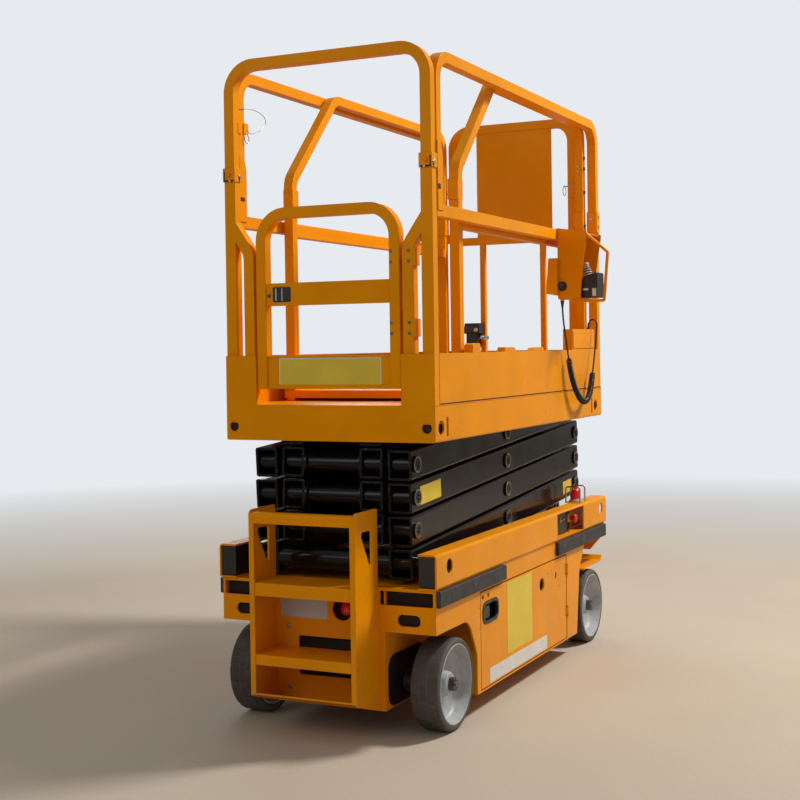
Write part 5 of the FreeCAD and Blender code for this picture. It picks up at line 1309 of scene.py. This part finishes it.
LAMPS = (
    # name, place, what it faces, size in metres, power in watts, colour
    ("key_light", (3.4, 2.3, 5.8), (0.0, 0.0, 0.8), 1.1, 400.0, (1.0, 0.97, 0.9)),
    ("rear_light", (-1.8, -5.6, 3.4), (0.0, -0.6, 0.9), 3.0, 34.0, (1.0, 0.97, 0.94)),
    ("front_light", (-3.5, 4.5, 3.6), (0.0, 0.0, 1.0), 3.0, 60.0, (0.97, 0.985, 1.0)),
)


class LIFT_OT_stage(bpy.types.Operator):
    """Camera, soft lamps, pale world and floor"""

    bl_idname = "lift.stage"
    bl_label = "Stage"

    def execute(self, context):
        scene = context.scene
        camera_data = bpy.data.cameras.new("photo_camera")
        camera_data.sensor_width = 36.0
        camera_data.lens = CAMERA_FOCAL / PHOTO_SIZE * camera_data.sensor_width
        camera_data.shift_y = (CAMERA_CENTRE - PHOTO_SIZE / 2) / PHOTO_SIZE
        camera_data.clip_end = 60.0
        camera = bpy.data.objects.new("photo_camera", camera_data)
        scene.collection.objects.link(camera)
        camera.matrix_world = look_matrix(CAMERA_PLACE, *CAMERA_ANGLES)
        scene.camera = camera
        for name, place, target, width, power, tone in LAMPS:
            data = bpy.data.lights.new(name, "AREA")
            data.shape = "DISK"
            data.size = width
            data.energy = power
            data.color = tone
            lamp = bpy.data.objects.new(name, data)
            scene.collection.objects.link(lamp)
            lamp.location = place
            lamp.rotation_euler = (Vector(target) - Vector(place)).to_track_quat("-Z", "Y").to_euler()
        pale_world(scene)
        mesh = bmesh.new()
        reach = 14.0
        corners = [mesh.verts.new((x, y, 0.0)) for x, y in ((-reach, -reach), (reach, -reach), (reach, reach),
                                                           (-reach, reach))]
        mesh.faces.new(corners)
        data = bpy.data.meshes.new("floor")
        mesh.to_mesh(data)
        mesh.free()
        floor = bpy.data.objects.new("floor", data)
        scene.collection.objects.link(floor)
        use_material(floor, "floor_concrete")
        scene.view_settings.view_transform = "Standard"
        return {"FINISHED"}


def pale_world(scene):
    """World that lights softly and shows pale grey to the camera."""
    world = bpy.data.worlds.new("pale_world")
    world.use_nodes = True
    tree = world.node_tree
    light = tree.nodes["Background"]
    light.inputs["Color"].default_value = (1.0, 0.98, 0.96, 1.0)
    light.inputs["Strength"].default_value = 0.32
    shown = tree.nodes.new("ShaderNodeBackground")
    shown.inputs["Color"].default_value = (*BACKGROUND, 1.0)
    shown.inputs["Strength"].default_value = 1.0
    path = tree.nodes.new("ShaderNodeLightPath")
    mix = tree.nodes.new("ShaderNodeMixShader")
    tree.links.new(path.outputs["Is Camera Ray"], mix.inputs["Fac"])
    tree.links.new(light.outputs["Background"], mix.inputs[1])
    tree.links.new(shown.outputs["Background"], mix.inputs[2])
    tree.links.new(mix.outputs["Shader"], tree.nodes["World Output"].inputs["Surface"])
    scene.world = world


class LIFT_OT_finishes(bpy.types.Operator):
    """Paint, rubber and steel on the frame's own pieces"""

    bl_idname = "lift.finishes"
    bl_label = "Finishes"

    def execute(self, context):
        make_materials()
        for name, nodes in NODE_FINISH.items():
            for node in nodes:
                use_material(NODES[node], name)
        return {"FINISHED"}


OPERATORS = (LIFT_OT_finishes, LIFT_OT_stage, LIFT_OT_cable, LIFT_OT_plates, LIFT_OT_chassis_trim,
             LIFT_OT_arm_trim, LIFT_OT_wheel_trim, LIFT_OT_hand_control, LIFT_OT_platform_trim)


class LIFT_PT_panel(bpy.types.Panel):
    """Sidebar panel with the colours, the sizes and the operators"""

    bl_idname = "LIFT_PT_panel"
    bl_label = "Scissor Lift"
    bl_space_type = "VIEW_3D"
    bl_region_type = "UI"
    bl_category = "Scissor Lift"

    def draw(self, context):
        layout = self.layout
        for group in (context.scene.lift_colours, context.scene.lift_sizes):
            for key in group.bl_rna.properties.keys():
                if key not in ("rna_type", "name"):
                    layout.prop(group, key)
        for operator in OPERATORS:
            layout.operator(operator.bl_idname)


CLASSES = (LiftColours, LiftSizes, *OPERATORS, LIFT_PT_panel)


def register():
    for item in CLASSES:
        bpy.utils.register_class(item)
    bpy.types.Scene.lift_colours = bpy.props.PointerProperty(type=LiftColours)
    bpy.types.Scene.lift_sizes = bpy.props.PointerProperty(type=LiftSizes)


def unregister():
    del bpy.types.Scene.lift_sizes
    del bpy.types.Scene.lift_colours
    for item in reversed(CLASSES):
        bpy.utils.unregister_class(item)


def call(operator):
    group, name = operator.bl_idname.split(".")
    result = getattr(getattr(bpy.ops, group), name)()
    if "FINISHED" not in result:
        raise RuntimeError("the operator %s did not finish" % operator.bl_idname)


def main():
    register()
    for operator in OPERATORS:
        call(operator)


if __name__ == "__main__":
    main()
